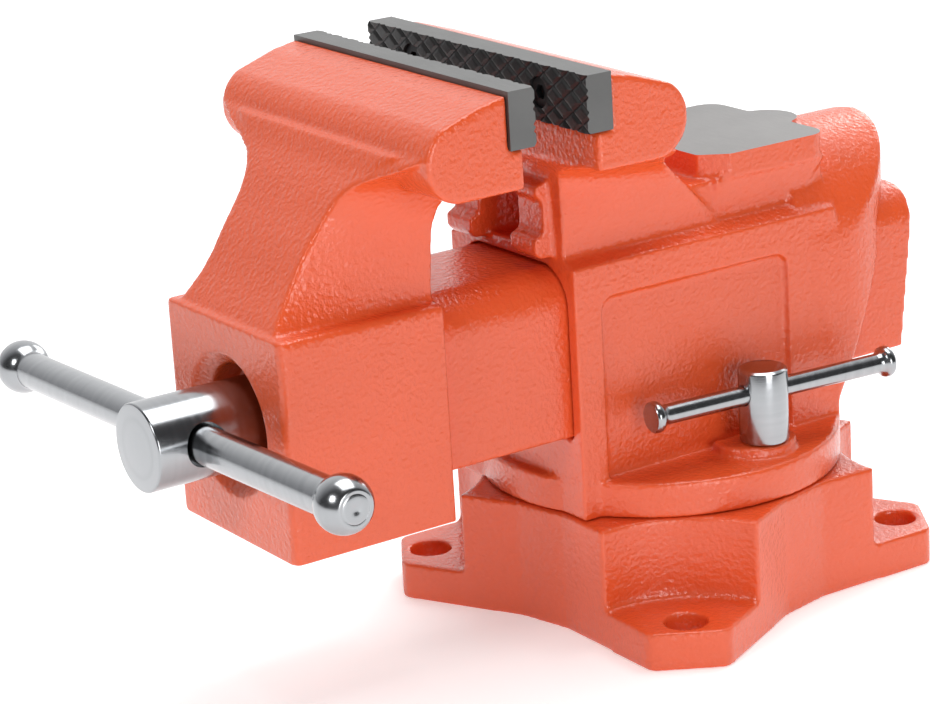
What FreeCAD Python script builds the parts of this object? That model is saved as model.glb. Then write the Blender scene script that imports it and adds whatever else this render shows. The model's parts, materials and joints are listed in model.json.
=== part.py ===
import FreeCAD, Part
import math
import os
import re
import Sketcher

# Swivel-base bench vise with pipe jaws and an anvil, in millimetres.
# The origin is on the swivel axis at the bench surface. +X runs along the jaws,
# +Y from the handle towards the tail of the slide, +Z up.

SIZES = {
    # jaws
    "jaw_width": 165.0, "plate_thick": 12.7, "plate_tall": 24.3, "jaw_top": 260.0,
    "jaw_opening": 25.4, "fixed_grip_y": -90.2, "head_inset": 0.8,
    "plate_screw_dia": 8.0, "plate_screw_head": 13.0, "plate_screw_spacing": 96.0,
    "plate_screw_long": 26.0, "screw_head_tall": 5.0, "screw_head_sunk": 1.5,
    "head_tall": 41.5, "head_nose": 17.0,
    # screw, handle and nut
    "screw_z": 122.0, "screw_head_dia": 38.0, "block_projection": 43.0,
    "screw_dia": 25.4, "screw_tail_y": 110.0, "handle_hole_back": 22.4,
    "handle_dia": 16.5, "handle_long": 274.6, "handle_offset": 13.1, "handle_tilt": 1.9,
    "ball_dia": 24.0, "ball_face_dia": 15.0,
    "nut_front_y": -64.0, "nut_long": 52.0, "nut_wide": 46.0, "nut_above": 22.0,
    "nut_bolt_dia": 12.0, "nut_bolt_head": 20.0, "nut_bolt_head_tall": 9.0,
    # moving jaw
    "block_half": "=slide_half + 7.4", "block_long": 79.0, "block_low": 72.0, "block_tall": 95.6,
    "recess_dia": 50.0, "recess_deep": 20.0, "mouth_flare": 6.0, "wall_behind": 22.0,
    "slide_half": 40.0, "slide_top": 166.0, "slide_low": 91.5, "slide_wall": 10.0,
    "slide_round": 17.0, "slide_tail_y": 121.0, "slide_tail_lean": 9.0,
    "neck_below_top": 22.0, "block_round": 3.0,
    # fixed body
    "body_half": "=slide_half + housing_wall", "housing_wall": 7.0, "body_front_y": -76.0,
    "body_shoulder": 168.0,
    "waist_half": "=slide_half - 2", "waist_low": 172.0, "side_wall_gap": 0.5,
    "horn_y": 72.5, "horn_half": "=slide_half + housing_wall + 0.8", "horn_crown": 197.0,
    "tail_cut_low_y": 68.0,
    "tail_cut_low_z": 77.0, "tail_cut_lean": 0.478,
    "anvil_top": 201.5, "anvil_half": 42.0, "anvil_front_y": 2.0, "anvil_back_y": 69.5,
    "anvil_band": 11.0, "anvil_tongue": 15.0,
    "pipe_inner": 15.0, "pipe_outer": 34.0, "pipe_reach": 10.0, "pipe_low": 171.5,
    "pipe_throat": 24.0,
    "panel_front_y": -62.0, "panel_back_y": 40.0, "panel_top": 152.5, "panel_deep": 3.0,
    "panel_round": 7.0,
    "floor_top": 90.9,
    # swivel
    "disc_dia": 164.0, "disc_thick": 16.1, "pad_rise": 5.0,
    "pivot_dia": 30.0, "pivot_seat": 30.0, "pivot_rise": 22.0,
    "lock_x": 63.3, "lock_y": 10.9, "lock_head_dia": 22.0, "lock_head_top": 110.0,
    "lock_bar_z": 98.5, "lock_bar_dia": 9.0, "lock_bar_front": 58.7, "lock_bar_back": 68.3,
    "lock_bar_turn": 4.4, "lock_cap_dia": 14.0, "lock_cap_long": 8.0, "lock_shank_dia": 12.0,
    "washer_thick": 2.5, "jaw_set_back": 105.4,
    # collar, pin and spring behind the casting wall
    "collar_dia": 38.0, "collar_long": 14.0, "collar_pin_dia": 6.0, "spring_long": 16.0,
    # base
    "base_tall": 54.4, "lug_thick": 17.2, "lug_reach": 121.0, "lug_tip_half": 17.0,
    "lug_root_along": 67.8, "lug_root_across": 48.6, "lug_turn": -32.1,
    "bench_hole_dia": 18.7, "bench_hole_circle": 214.6, "scallop_radius": 54.4,
    "scallop_centre": 136.0,
    "slot_radius": 64.2, "slot_wide": 14.0, "slot_under_wide": 27.0, "slot_lip": 12.0,
    "slot_deep": 27.0, "hub_dia": 56.0, "shell_outer": 154.0, "shell_wall": 8.0, "shell_deep": 42.0,
    # clearances
    "face_gap": 0.3, "running_fit": 0.1,
}

doc = FreeCAD.newDocument("bench_vise")
sheet = doc.addObject("Spreadsheet::Sheet", "sizes")
for row, alias in enumerate(SIZES, start=1):
    sheet.set(f"A{row}", alias)
    sheet.setAlias(f"B{row}", alias)
for row, size in enumerate(SIZES.values(), start=1):
    sheet.set(f"B{row}", str(size))
doc.recompute()

NAMES = re.compile(r"\b(" + "|".join(sorted(SIZES, key=len, reverse=True)) + r")\b")


def bound(expression):
    """The expression with every size name pointing at its cell in the sheet."""
    return NAMES.sub(r"sizes.\1", str(expression))


def number(expression):
    """The value of an expression now, in millimetres or degrees."""
    result = sheet.evalExpression(bound(expression))
    return float(getattr(result, "Value", result))


# Places that several pieces share, worked out from the sizes.
PLATE_LOW = "(jaw_top - plate_tall)"
MOVING_GRIP_Y = "(fixed_grip_y - jaw_opening)"
FIXED_SEAT_Y = "(fixed_grip_y + plate_thick)"
MOVING_SEAT_Y = "(fixed_grip_y - jaw_opening - plate_thick)"
HEAD_HALF = "(jaw_width / 2 - head_inset)"
DISC_LOW = "(base_tall + face_gap)"
DISC_TOP = "(base_tall + face_gap + disc_thick)"
BLOCK_FRONT_Y = "(fixed_grip_y - jaw_opening - jaw_set_back)"
BLOCK_BACK_Y = "(fixed_grip_y - jaw_opening - jaw_set_back + block_long)"
BLOCK_TOP = "(block_low + block_tall)"
SCREW_FRONT_Y = f"({BLOCK_FRONT_Y} - block_projection)"
SHOULDER_Y = f"({BLOCK_FRONT_Y} + recess_deep)"
WALL_BACK_Y = f"({BLOCK_FRONT_Y} + recess_deep + wall_behind)"
HANDLE_Y = f"({SCREW_FRONT_Y} + handle_hole_back)"
CHANNEL_HALF = "(slide_half + side_wall_gap)"
CHANNEL_TOP = "(slide_top + side_wall_gap)"
ANVIL_LOW = "(anvil_top - anvil_band)"
GROUND_PAD = "(base_tall + face_gap + disc_thick + pad_rise)"
COLLAR_FRONT_Y = f"({WALL_BACK_Y} + washer_thick + spring_long)"
COLLAR_MIDDLE_Y = f"({COLLAR_FRONT_Y} + collar_long / 2)"

PLANES = {"XY": "XY_Plane", "XZ": "XZ_Plane", "YZ": "YZ_Plane"}
TURNS = {"XY": FreeCAD.Rotation(), "XZ": FreeCAD.Rotation(FreeCAD.Vector(1, 0, 0), 90),
         "YZ": FreeCAD.Rotation(FreeCAD.Vector(1, 1, 1), 120)}
NORMALS = {"XY": ("z", 1), "XZ": ("y", -1), "YZ": ("x", 1)}
nodes = []


def new_body(label):
    body = doc.addObject("PartDesign::Body", label)
    body.Label = label
    nodes.append(body)
    return body


def new_sketch(body, plane, offset="0"):
    """A sketch on one of the body's own origin planes, moved along its normal.

    XY sketches read (x, y), XZ sketches (x, z) and YZ sketches (y, z). The offset is
    along +Z, -Y and +X in that order.
    """
    sketch = body.newObject("Sketcher::SketchObject", "sketch")
    role = PLANES[plane]
    face = [item for item in body.Origin.OriginFeatures if item.Role == role][0]
    sketch.AttachmentSupport = [(face, "")]
    sketch.MapMode = "FlatFace"
    sketch.setExpression(".AttachmentOffset.Base.z", bound(offset))
    return sketch


def pin(sketch, geometry, end, across, up):
    """Hold one end of a piece of geometry at a place given by two expressions."""
    for kind, expression in (("DistanceX", across), ("DistanceY", up)):
        constraint = Sketcher.Constraint(kind, -1, 1, geometry, end, number(expression))
        index = sketch.addConstraint(constraint)
        sketch.setExpression(f"Constraints[{index}]", bound(expression))


def outline(sketch, points):
    """A closed outline. A point is (across, up) or (across, up, radius) for an arc.

    The radius is that of the stretch from this point to the next. A positive radius
    bulges to the right of the direction of travel, a negative one to the left.
    """
    places = [FreeCAD.Vector(number(point[0]), number(point[1]), 0) for point in points]
    first = sketch.GeometryCount
    for index, point in enumerate(points):
        start, end = places[index], places[(index + 1) % len(points)]
        line = Part.LineSegment(start, end)
        if len(point) == 2:
            sketch.addGeometry(line, False)
            pin(sketch, first + index, 1, point[0], point[1])
            continue
        radius = number(point[2])
        along = end - start
        right = FreeCAD.Vector(along.y, -along.x, 0).normalize()
        half = along.Length / 2
        rise = abs(radius) - math.sqrt(radius * radius - half * half)
        side = 1 if radius > 0 else -1
        middle = (start + end) * 0.5 + right * rise * side
        arc = Part.Arc(start, middle, end)
        sketch.addGeometry(arc, False)
        begin = 1 if sketch.getPoint(first + index, 1).distanceToPoint(start) < 1e-6 else 2
        pin(sketch, first + index, begin, point[0], point[1])
        round_index = sketch.addConstraint(
            Sketcher.Constraint("Radius", first + index, abs(radius)))
        size = point[2] if radius > 0 else f"-({point[2]})"
        sketch.setExpression(f"Constraints[{round_index}]", bound(size))
    for index in range(len(points)):
        here, after = first + index, first + (index + 1) % len(points)
        meeting = places[(index + 1) % len(points)]
        ends = []
        for item in (here, after):
            near = sketch.getPoint(item, 1).distanceToPoint(meeting)
            far = sketch.getPoint(item, 2).distanceToPoint(meeting)
            ends.append(1 if near < far else 2)
        sketch.addConstraint(Sketcher.Constraint("Coincident", here, ends[0], after, ends[1]))
    return sketch


def circle(sketch, across, up, diameter):
    """A circle whose centre and diameter follow three expressions."""
    centre = FreeCAD.Vector(number(across), number(up), 0)
    normal = FreeCAD.Vector(0, 0, 1)
    index = sketch.addGeometry(Part.Circle(centre, normal, number(diameter) / 2), False)
    pin(sketch, index, 3, across, up)
    size = sketch.addConstraint(Sketcher.Constraint("Diameter", index, number(diameter)))
    sketch.setExpression(f"Constraints[{size}]", bound(diameter))
    return sketch


def box_points(low_across, high_across, low_up, high_up):
    return [(low_across, low_up), (high_across, low_up),
            (high_across, high_up), (low_across, high_up)]


def pad(body, sketch, length, symmetric=False, reverse=False):
    feature = body.newObject("PartDesign::Pad", "pad")
    feature.Profile = sketch
    feature.SideType = "Symmetric" if symmetric else "One side"
    feature.Reversed = reverse
    feature.setExpression("Length", bound(length))
    doc.recompute()
    return feature


def pocket(body, sketch, length, symmetric=False, reverse=False):
    """Cut the sketch's outline away, and make sure that it removed something."""
    before = body.Shape.Volume
    feature = body.newObject("PartDesign::Pocket", "pocket")
    feature.Profile = sketch
    feature.SideType = "Symmetric" if symmetric else "One side"
    feature.Reversed = reverse
    feature.setExpression("Length", bound(length))
    doc.recompute()
    if body.Shape.Volume > before - 0.01:
        raise ValueError(f"{body.Label}: a pocket removed nothing")
    return feature


def turn(body, sketch, axis, kind="PartDesign::Revolution"):
    """Revolve a sketch about one of its own axes, H_Axis or V_Axis."""
    feature = body.newObject(kind, "turn")
    feature.Profile = sketch
    feature.ReferenceAxis = (sketch, [axis])
    feature.Angle = 360
    doc.recompute()
    return feature


def fillet(body, base, chosen, radius):
    """Round the edges of the last feature that the test chooses."""
    names = [f"Edge{index + 1}" for index, edge in enumerate(base.Shape.Edges) if chosen(edge)]
    if not names:
        raise ValueError(f"{body.Label}: no edge to round")
    feature = body.newObject("PartDesign::Fillet", "fillet")
    feature.Base = (base, names)
    feature.setExpression("Radius", bound(radius))
    doc.recompute()
    if not feature.Shape.isValid() or "Invalid" in feature.State:
        raise ValueError(f"{body.Label}: a rounding failed")
    return feature


def chamfer(body, base, chosen, size):
    names = [f"Edge{index + 1}" for index, edge in enumerate(base.Shape.Edges) if chosen(edge)]
    if not names:
        raise ValueError(f"{body.Label}: no edge to bevel")
    feature = body.newObject("PartDesign::Chamfer", "chamfer")
    feature.Base = (base, names)
    feature.setExpression("Size", bound(size))
    doc.recompute()
    return feature


def straight_along(edge, axis):
    """Whether an edge is a straight one along X, Y or Z."""
    if len(edge.Vertexes) != 2:
        return False
    step = edge.Vertexes[1].Point - edge.Vertexes[0].Point
    parts = {"X": step.x, "Y": step.y, "Z": step.z}
    others = [abs(value) for name, value in parts.items() if name != axis]
    return abs(parts[axis]) > 1e-3 and max(others) < 1e-4


def near(value, expression, slack=0.05):
    return abs(value - number(expression)) < slack


def middle(edge):
    return edge.BoundBox.Center


def swivel_base():
    """The cast base: four bench lugs, a hollow underside and a round T-slot."""
    body = new_body("swivel_base")
    sketch = new_sketch(body, "XY")
    corners = []
    for lug in range(4):
        angle = f"(lug_turn + {90 * lug})"
        tips = [("lug_root_along", "-lug_root_across"), ("lug_reach", "-lug_tip_half"),
                ("lug_reach", "lug_tip_half"), ("lug_root_along", "lug_root_across")]
        for along, across in tips:
            corners.append((f"({along}) * cos({angle} * 1deg) - ({across}) * sin({angle} * 1deg)",
                            f"({along}) * sin({angle} * 1deg) + ({across}) * cos({angle} * 1deg)"))
    outline(sketch, corners)
    blank = pad(body, sketch, "base_tall")

    def reach(edge):
        return math.hypot(middle(edge).x, middle(edge).y)

    def lug_corner(edge):
        return straight_along(edge, "Z") and reach(edge) > number("lug_reach")

    def waist_corner(edge):
        return straight_along(edge, "Z") and reach(edge) < number("lug_reach")

    blank = fillet(body, blank, lug_corner, "lug_tip_half * 0.4")
    blank = fillet(body, blank, waist_corner, "lug_tip_half * 0.35")
    scallops = new_sketch(body, "XY", "base_tall")
    for lug in range(4):
        angle = f"((lug_turn + {90 * lug}) * 1deg)"
        circle(scallops, f"scallop_centre * cos({angle})", f"scallop_centre * sin({angle})",
               "scallop_radius * 2")
    pocket(body, scallops, "base_tall - lug_thick")
    holes = new_sketch(body, "XY")
    for lug in range(4):
        angle = f"((lug_turn + {90 * lug}) * 1deg)"
        circle(holes, f"bench_hole_circle / 2 * cos({angle})",
               f"bench_hole_circle / 2 * sin({angle})", "bench_hole_dia")
    pocket(body, holes, "base_tall", reverse=True)
    slot = new_sketch(body, "XZ")
    top, lip, floor = "base_tall", "base_tall - slot_lip", "base_tall - slot_deep"
    outline(slot, [
        ("slot_radius - slot_wide / 2", top), ("slot_radius - slot_wide / 2", lip),
        ("slot_radius - slot_under_wide / 2", lip), ("slot_radius - slot_under_wide / 2", floor),
        ("slot_radius + slot_under_wide / 2", floor), ("slot_radius + slot_under_wide / 2", lip),
        ("slot_radius + slot_wide / 2", lip), ("slot_radius + slot_wide / 2", top)])
    turn(body, slot, "V_Axis", "PartDesign::Groove")
    entry = new_sketch(body, "XY", "base_tall")
    circle(entry, "0", "slot_radius", "slot_under_wide - 1")
    pocket(body, entry, "slot_lip")
    hollow = new_sketch(body, "XZ")
    under_slot = "base_tall - slot_deep - shell_wall"
    outline(hollow, box_points("hub_dia / 2", "shell_outer / 2", "0", under_slot))
    turn(body, hollow, "V_Axis", "PartDesign::Groove")
    crown = new_sketch(body, "XZ")
    outline(crown, box_points("hub_dia / 2", "slot_radius - slot_under_wide / 2 - shell_wall + 1",
                              under_slot, "shell_deep"))
    turn(body, crown, "V_Axis", "PartDesign::Groove")
    bore = new_sketch(body, "XY", "base_tall")
    circle(bore, "0", "0", "pivot_dia")
    last = pocket(body, bore, "pivot_seat")
    fillet(body, last, lambda edge: near(edge.BoundBox.ZMin, "lug_thick")
           and near(edge.BoundBox.ZMax, "lug_thick")
           and edge.Curve.TypeId == "Part::GeomCircle"
           and near(edge.Curve.Radius, "scallop_radius"), "3")
    return body


def pivot_pin():
    """The steel spigot that the turntable turns on, pressed into the base."""
    body = new_body("pivot_pin")
    sketch = new_sketch(body, "XY", "base_tall - pivot_seat")
    circle(sketch, "0", "0", "pivot_dia")
    shaft = pad(body, sketch, "pivot_seat + pivot_rise")
    chamfer(body, shaft, lambda edge: near(edge.BoundBox.ZMin, "base_tall + pivot_rise"), "1.5")
    return body



def loose_sketch(plane, offset="0"):
    """A sketch outside any body, parallel to a plane; the offset is its X, Y or Z."""
    sketch = doc.addObject("Sketcher::SketchObject", "sketch")
    sketch.Placement = FreeCAD.Placement(FreeCAD.Vector(), TURNS[plane])
    sketch.setExpression(f".Placement.Base.{NORMALS[plane][0]}", bound(offset))
    return sketch


def slab(plane, points, low, high):
    """A prism with the given outline between two places along the third axis."""
    start = high if NORMALS[plane][1] < 0 else low
    sketch = outline(loose_sketch(plane, start), points)
    prism = doc.addObject("Part::Extrusion", "prism")
    prism.Base = sketch
    prism.DirMode = "Normal"
    prism.Solid = True
    prism.setExpression("LengthFwd", bound(f"({high}) - ({low})"))
    return prism


def rod(axis, centre, diameter, low, high):
    """A cylinder along X, Y or Z between two places; the centre gives the other two."""
    cylinder = doc.addObject("Part::Cylinder", "rod")
    turns = {"X": FreeCAD.Rotation(FreeCAD.Vector(0, 1, 0), 90), "Z": FreeCAD.Rotation(),
             "Y": FreeCAD.Rotation(FreeCAD.Vector(1, 0, 0), -90)}
    cylinder.Placement = FreeCAD.Placement(FreeCAD.Vector(), turns[axis])
    others = [name for name in "xyz" if name != axis.lower()]
    for name, place in list(zip(others, centre)) + [(axis.lower(), low)]:
        cylinder.setExpression(f".Placement.Base.{name}", bound(place))
    cylinder.setExpression("Radius", bound(f"({diameter}) / 2"))
    cylinder.setExpression("Height", bound(f"({high}) - ({low})"))
    return cylinder


def loft(sections):
    """A smooth skin through flat outlines, each given as (height, points)."""
    skin = doc.addObject("Part::Loft", "skin")
    skin.Sections = [outline(loose_sketch("XY", height), points) for height, points in sections]
    skin.Solid = True
    skin.Ruled = False
    return skin


def fuse(*shapes):
    joined = doc.addObject("Part::MultiFuse", "joined")
    joined.Shapes = list(shapes)
    joined.Refine = True
    return joined


def common(*shapes):
    shared = doc.addObject("Part::MultiCommon", "shared")
    shared.Shapes = list(shapes)
    shared.Refine = True
    return shared


def cut(base, *tools):
    remaining = doc.addObject("Part::Cut", "remaining")
    remaining.Base = base
    remaining.Tool = tools[0] if len(tools) == 1 else fuse(*tools)
    remaining.Refine = True
    return remaining


def rounded(base, *rules):
    """Round edges: each rule is a test for an edge and a radius expression."""
    doc.recompute()
    feature = doc.addObject("Part::Fillet", "rounded")
    feature.Base = base
    edges = []
    for chosen, radius in rules:
        found = [(index + 1, number(radius), number(radius))
                 for index, edge in enumerate(base.Shape.Edges) if chosen(edge)]
        if not found:
            raise ValueError(f"{base.Name}: no edge to round with {radius}")
        edges += found
    feature.Edges = edges
    doc.recompute()
    if feature.Shape.isNull() or not feature.Shape.isValid():
        raise ValueError(f"{base.Name}: a rounding failed")
    return feature


def named(label, shape):
    shape.Label = label
    nodes.append(shape)
    return shape


def rectangle(half_wide, low_y, high_y):
    return box_points(f"-({half_wide})", half_wide, low_y, high_y)


def plate_screw_places():
    return ("-plate_screw_spacing / 2", "plate_screw_spacing / 2")


def head_outline(seat_y, front):
    """Side view of a jaw head; front is -1 for the moving jaw and 1 for the fixed one."""
    def place(back, up, *radius):
        return (f"{seat_y} + {front} * ({back})", up) + radius
    points = [place("0", "jaw_top - 1.8"), place("0", f"{PLATE_LOW} - 0.5"),
              place("-7", f"{PLATE_LOW} - 0.5"), place("-7", "jaw_top - head_tall"),
              place("20.5", "jaw_top - head_tall - 0.3", f"{front} * head_nose"),
              place("31", "jaw_top - 10.3"), place("12", "jaw_top - 4.0")]
    return points


def pipe_teeth(low_x, high_x):
    """One lobe of the fixed pipe jaw: two rows of teeth with a hollow between."""
    front, back = "body_front_y - pipe_reach", "body_front_y + 6"
    points = [(back, "pipe_low"), (f"{front} + 3", "pipe_low"), (front, "pipe_low + 3"),
              (front, "pipe_low + 9"), (f"{front} + 5", "pipe_low + 11.5"),
              (f"{front} + 5", "pipe_low + 25"), (f"{front} + 1.5", "pipe_low + 28"),
              (f"{front} + 1.5", "pipe_low + 32"), (back, "pipe_low + 37")]
    return slab("YZ", points, low_x, high_x)


def screw_holes(seat_y, toward):
    """Tapped holes behind a jaw plate; toward is 1 where they run to +Y."""
    deep = "plate_screw_long - plate_thick + 6"
    low, high = (seat_y, f"{seat_y} + {deep}") if toward > 0 else (f"{seat_y} - ({deep})", seat_y)
    height = "jaw_top - plate_tall / 2"
    return [rod("Y", (x, height), "plate_screw_dia", low, high) for x in plate_screw_places()]


# The web under the fixed jaw: share of its height, widening of its front and of its
# back, reach of its front over the housing, set back of its rear from the anvil.
FIXED_WEB = (
    (-0.05, 1.5, 1.5, 0.0, -8.0), (0.25, 2.4, 3.0, 0.2, 4.0), (0.5, 3.2, 6.0, 0.8, 16.0),
    (0.72, 4.4, 12.0, 2.0, 28.0), (0.86, 9.0, 24.0, 4.5, 37.0), (0.95, 22.0, 35.0, 7.5, 42.0),
    (1.04, 39.0, 41.0, 9.0, 44.0))


def web_section(share, front, back, reach, set_back):
    """One level of the fixed jaw's web; it ends inside the head."""
    height = f"waist_low + {share} * (jaw_top - head_tall - waist_low)"
    wider = f"{share} * (jaw_width - 165) / 2"
    low, high = f"body_front_y - {reach}", f"anvil_front_y - ({set_back})"
    ahead, behind = f"waist_half + {front} + {wider}", f"waist_half + {back} + {wider}"
    return (height, [(f"-({ahead})", low), (ahead, low), (behind, high), (f"-({behind})", high)])


def fixed_jaw_body():
    """The casting with the turntable, slide housing, anvil, horn and fixed jaw head."""
    disc = rod("Z", ("0", "0"), "disc_dia", DISC_LOW, DISC_TOP)
    housing = slab("XZ", [
        ("body_half", DISC_LOW), ("body_half", "body_shoulder"), ("waist_half", "waist_low"),
        ("waist_half", f"{ANVIL_LOW}"), ("-waist_half", f"{ANVIL_LOW}"),
        ("-waist_half", "waist_low"), ("-body_half", "body_shoulder"),
        ("-body_half", DISC_LOW)], "body_front_y", "tail_cut_low_y")
    arch = slab("XZ", [
        ("horn_half", DISC_LOW), ("horn_half", "horn_crown - horn_half", "horn_half * 1.00001"),
        ("0", "horn_crown", "horn_half * 1.00001"), ("-horn_half", "horn_crown - horn_half"),
        ("-horn_half", DISC_LOW)], "waist_half", "horn_y + horn_half * 2")
    plan = slab("XY", [
        ("horn_half", "0"), ("horn_half", "horn_y", "horn_half * 1.00001"),
        ("0", "horn_y + horn_half", "horn_half * 1.00001"), ("-horn_half", "horn_y"),
        ("-horn_half", "0")], DISC_LOW, "horn_crown + 1")
    rear = "tail_cut_low_y + tail_cut_lean * (horn_crown + 4 - tail_cut_low_z)"
    side = slab("YZ", [
        ("tail_cut_low_y", DISC_LOW), ("tail_cut_low_y", "tail_cut_low_z"),
        (rear, "horn_crown + 4"), ("anvil_back_y - 21", "horn_crown + 4"),
        ("anvil_back_y - 21", "waist_low"), ("anvil_back_y - 15", "body_shoulder - 13"),
        ("anvil_back_y - 7.5", "body_shoulder - 71"), ("tail_cut_low_y - 1", "tail_cut_low_z")],
        "-horn_half * 1.1", "horn_half * 1.1")
    horn = common(arch, plan, side)
    web = loft([web_section(*section) for section in FIXED_WEB])
    head = slab("YZ", head_outline(FIXED_SEAT_Y, 1), f"-{HEAD_HALF}", HEAD_HALF)
    block = [("anvil_half - 9", "anvil_front_y"), ("anvil_half", "anvil_front_y + 12"),
             ("anvil_half", "anvil_back_y - 9", "9.5"), ("anvil_half - 9", "anvil_back_y"),
             ("-anvil_half + 9", "anvil_back_y", "9.5"), ("-anvil_half", "anvil_back_y - 9"),
             ("-anvil_half", "anvil_front_y + 12"), ("-anvil_half + 9", "anvil_front_y")]
    anvil = slab("XY", block, ANVIL_LOW, "anvil_top")
    under = loft([
        ("waist_low - 2", rectangle("waist_half - 1", "anvil_front_y + 8", "anvil_back_y - 17")),
        (ANVIL_LOW, rectangle("anvil_half - 1", "anvil_front_y + 4", "anvil_back_y - 1"))])
    tongue = rod("Z", ("0", "anvil_back_y - 3"), "anvil_tongue * 2", "waist_low", "anvil_top")
    lobes = [pipe_teeth("pipe_inner", "pipe_outer"), pipe_teeth("-pipe_outer", "-pipe_inner")]
    throat = slab("XY", [("-pipe_inner", "body_front_y - pipe_reach - 9"),
                         ("pipe_inner", "body_front_y - pipe_reach - 9"),
                         ("pipe_inner", "body_front_y + 4"), ("4", "body_front_y + pipe_throat"),
                         ("-4", "body_front_y + pipe_throat"), ("-pipe_inner", "body_front_y + 4")],
                  "pipe_low + 2", "pipe_low + 36")
    pads = [rod("Z", (x, "lock_y"), "lock_head_dia + 16", DISC_TOP, GROUND_PAD)
            for x in ("lock_x - 8", "-lock_x + 8")]
    casting = fuse(disc, housing, horn, web, head, anvil, under, tongue, *lobes,
                   common(fuse(*pads), rod("Z", ("0", "0"), "disc_dia", DISC_TOP, GROUND_PAD)))
    channel = slab("XZ", channel_points(CHANNEL_HALF, "floor_top", CHANNEL_TOP,
                                        "slide_round + side_wall_gap"),
                   "body_front_y - 1", "horn_y + horn_half * 2")
    round_corner = "panel_round * 1.00001"
    panel = [("panel_front_y", f"{DISC_TOP} - 0.01"), ("panel_back_y", f"{DISC_TOP} - 0.01"),
             ("panel_back_y", "panel_top - panel_round", round_corner),
             ("panel_back_y - panel_round", "panel_top"),
             ("panel_front_y + panel_round", "panel_top", round_corner),
             ("panel_front_y", "panel_top - panel_round")]
    panels = [slab("YZ", panel, low, high)
              for low, high in (("body_half - panel_deep", "body_half + 1"),
                                ("-body_half - 1", "-body_half + panel_deep"))]
    bolts = [rod("Z", (x, "lock_y"), "lock_shank_dia + 1", f"{DISC_LOW} - 1", f"{GROUND_PAD} + 1")
             for x in ("lock_x", "-lock_x")]
    pivot = rod("Z", ("0", "0"), "pivot_dia + running_fit * 2", f"{DISC_LOW} - 1",
                "base_tall + pivot_rise + 1")
    nut_hole = rod("Z", ("0", "nut_front_y + nut_long / 2"), "nut_bolt_dia + 1",
                   "base_tall - 1", "floor_top + 1")
    nut_sink = rod("Z", ("0", "nut_front_y + nut_long / 2"), "nut_bolt_head + 1",
                   f"{DISC_LOW} - 1", f"{DISC_LOW} + nut_bolt_head_tall + 1")
    hollow = cut(casting, channel, throat, *panels, *bolts, pivot, nut_hole, nut_sink,
                 *screw_holes(FIXED_SEAT_Y, 1))
    return named("fixed_jaw_body", hollow)


def channel_points(half, low, top, corner):
    """Cross-section of the slide or its housing: square below, rounded above."""
    return [(half, low), (half, f"{top} - ({corner})", f"({corner}) * 1.00001"),
            (f"{half} - ({corner})", top), (f"-({half}) + ({corner})", top, f"({corner}) * 1.00001"),
            (f"-({half})", f"{top} - ({corner})"), (f"-({half})", low)]


# The neck of the moving jaw, from the block up into the head: share of its height,
# half width in front, half width behind, set back of its front, reach of its back.
MOVING_NECK = (
    (-0.03, 40.0, 40.0, 2.0, 0.0), (0.05, 37.6, 38.5, 5.0, 0.0), (0.18, 34.6, 39.6, 12.0, 0.0),
    (0.39, 33.6, 41.4, 21.4, 0.0), (0.56, 34.1, 45.5, 30.2, 1.2), (0.69, 36.3, 54.0, 36.4, 4.0),
    (0.79, 43.0, 66.0, 41.6, 9.5), (0.9, 63.0, 76.5, 47.4, 11.0), (1.0, 78.0, 78.5, 53.0, 11.0))


def neck_section(share, front_half, back_half, set_back, reach):
    """One level of the moving jaw's neck; the neck ends inside the head."""
    height = f"{BLOCK_TOP} + {share} * (jaw_top - neck_below_top - {BLOCK_TOP})"
    wider = f"{share} * (jaw_width - 165) / 2"
    low, high = f"{BLOCK_FRONT_Y} + {set_back}", f"{BLOCK_BACK_Y} + 0.5 + {reach}"
    front, back = f"{front_half} + {wider}", f"{back_half} + {wider}"
    return (height, [(f"-({front})", low), (front, low), (back, high), (f"-({back})", high)])


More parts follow.
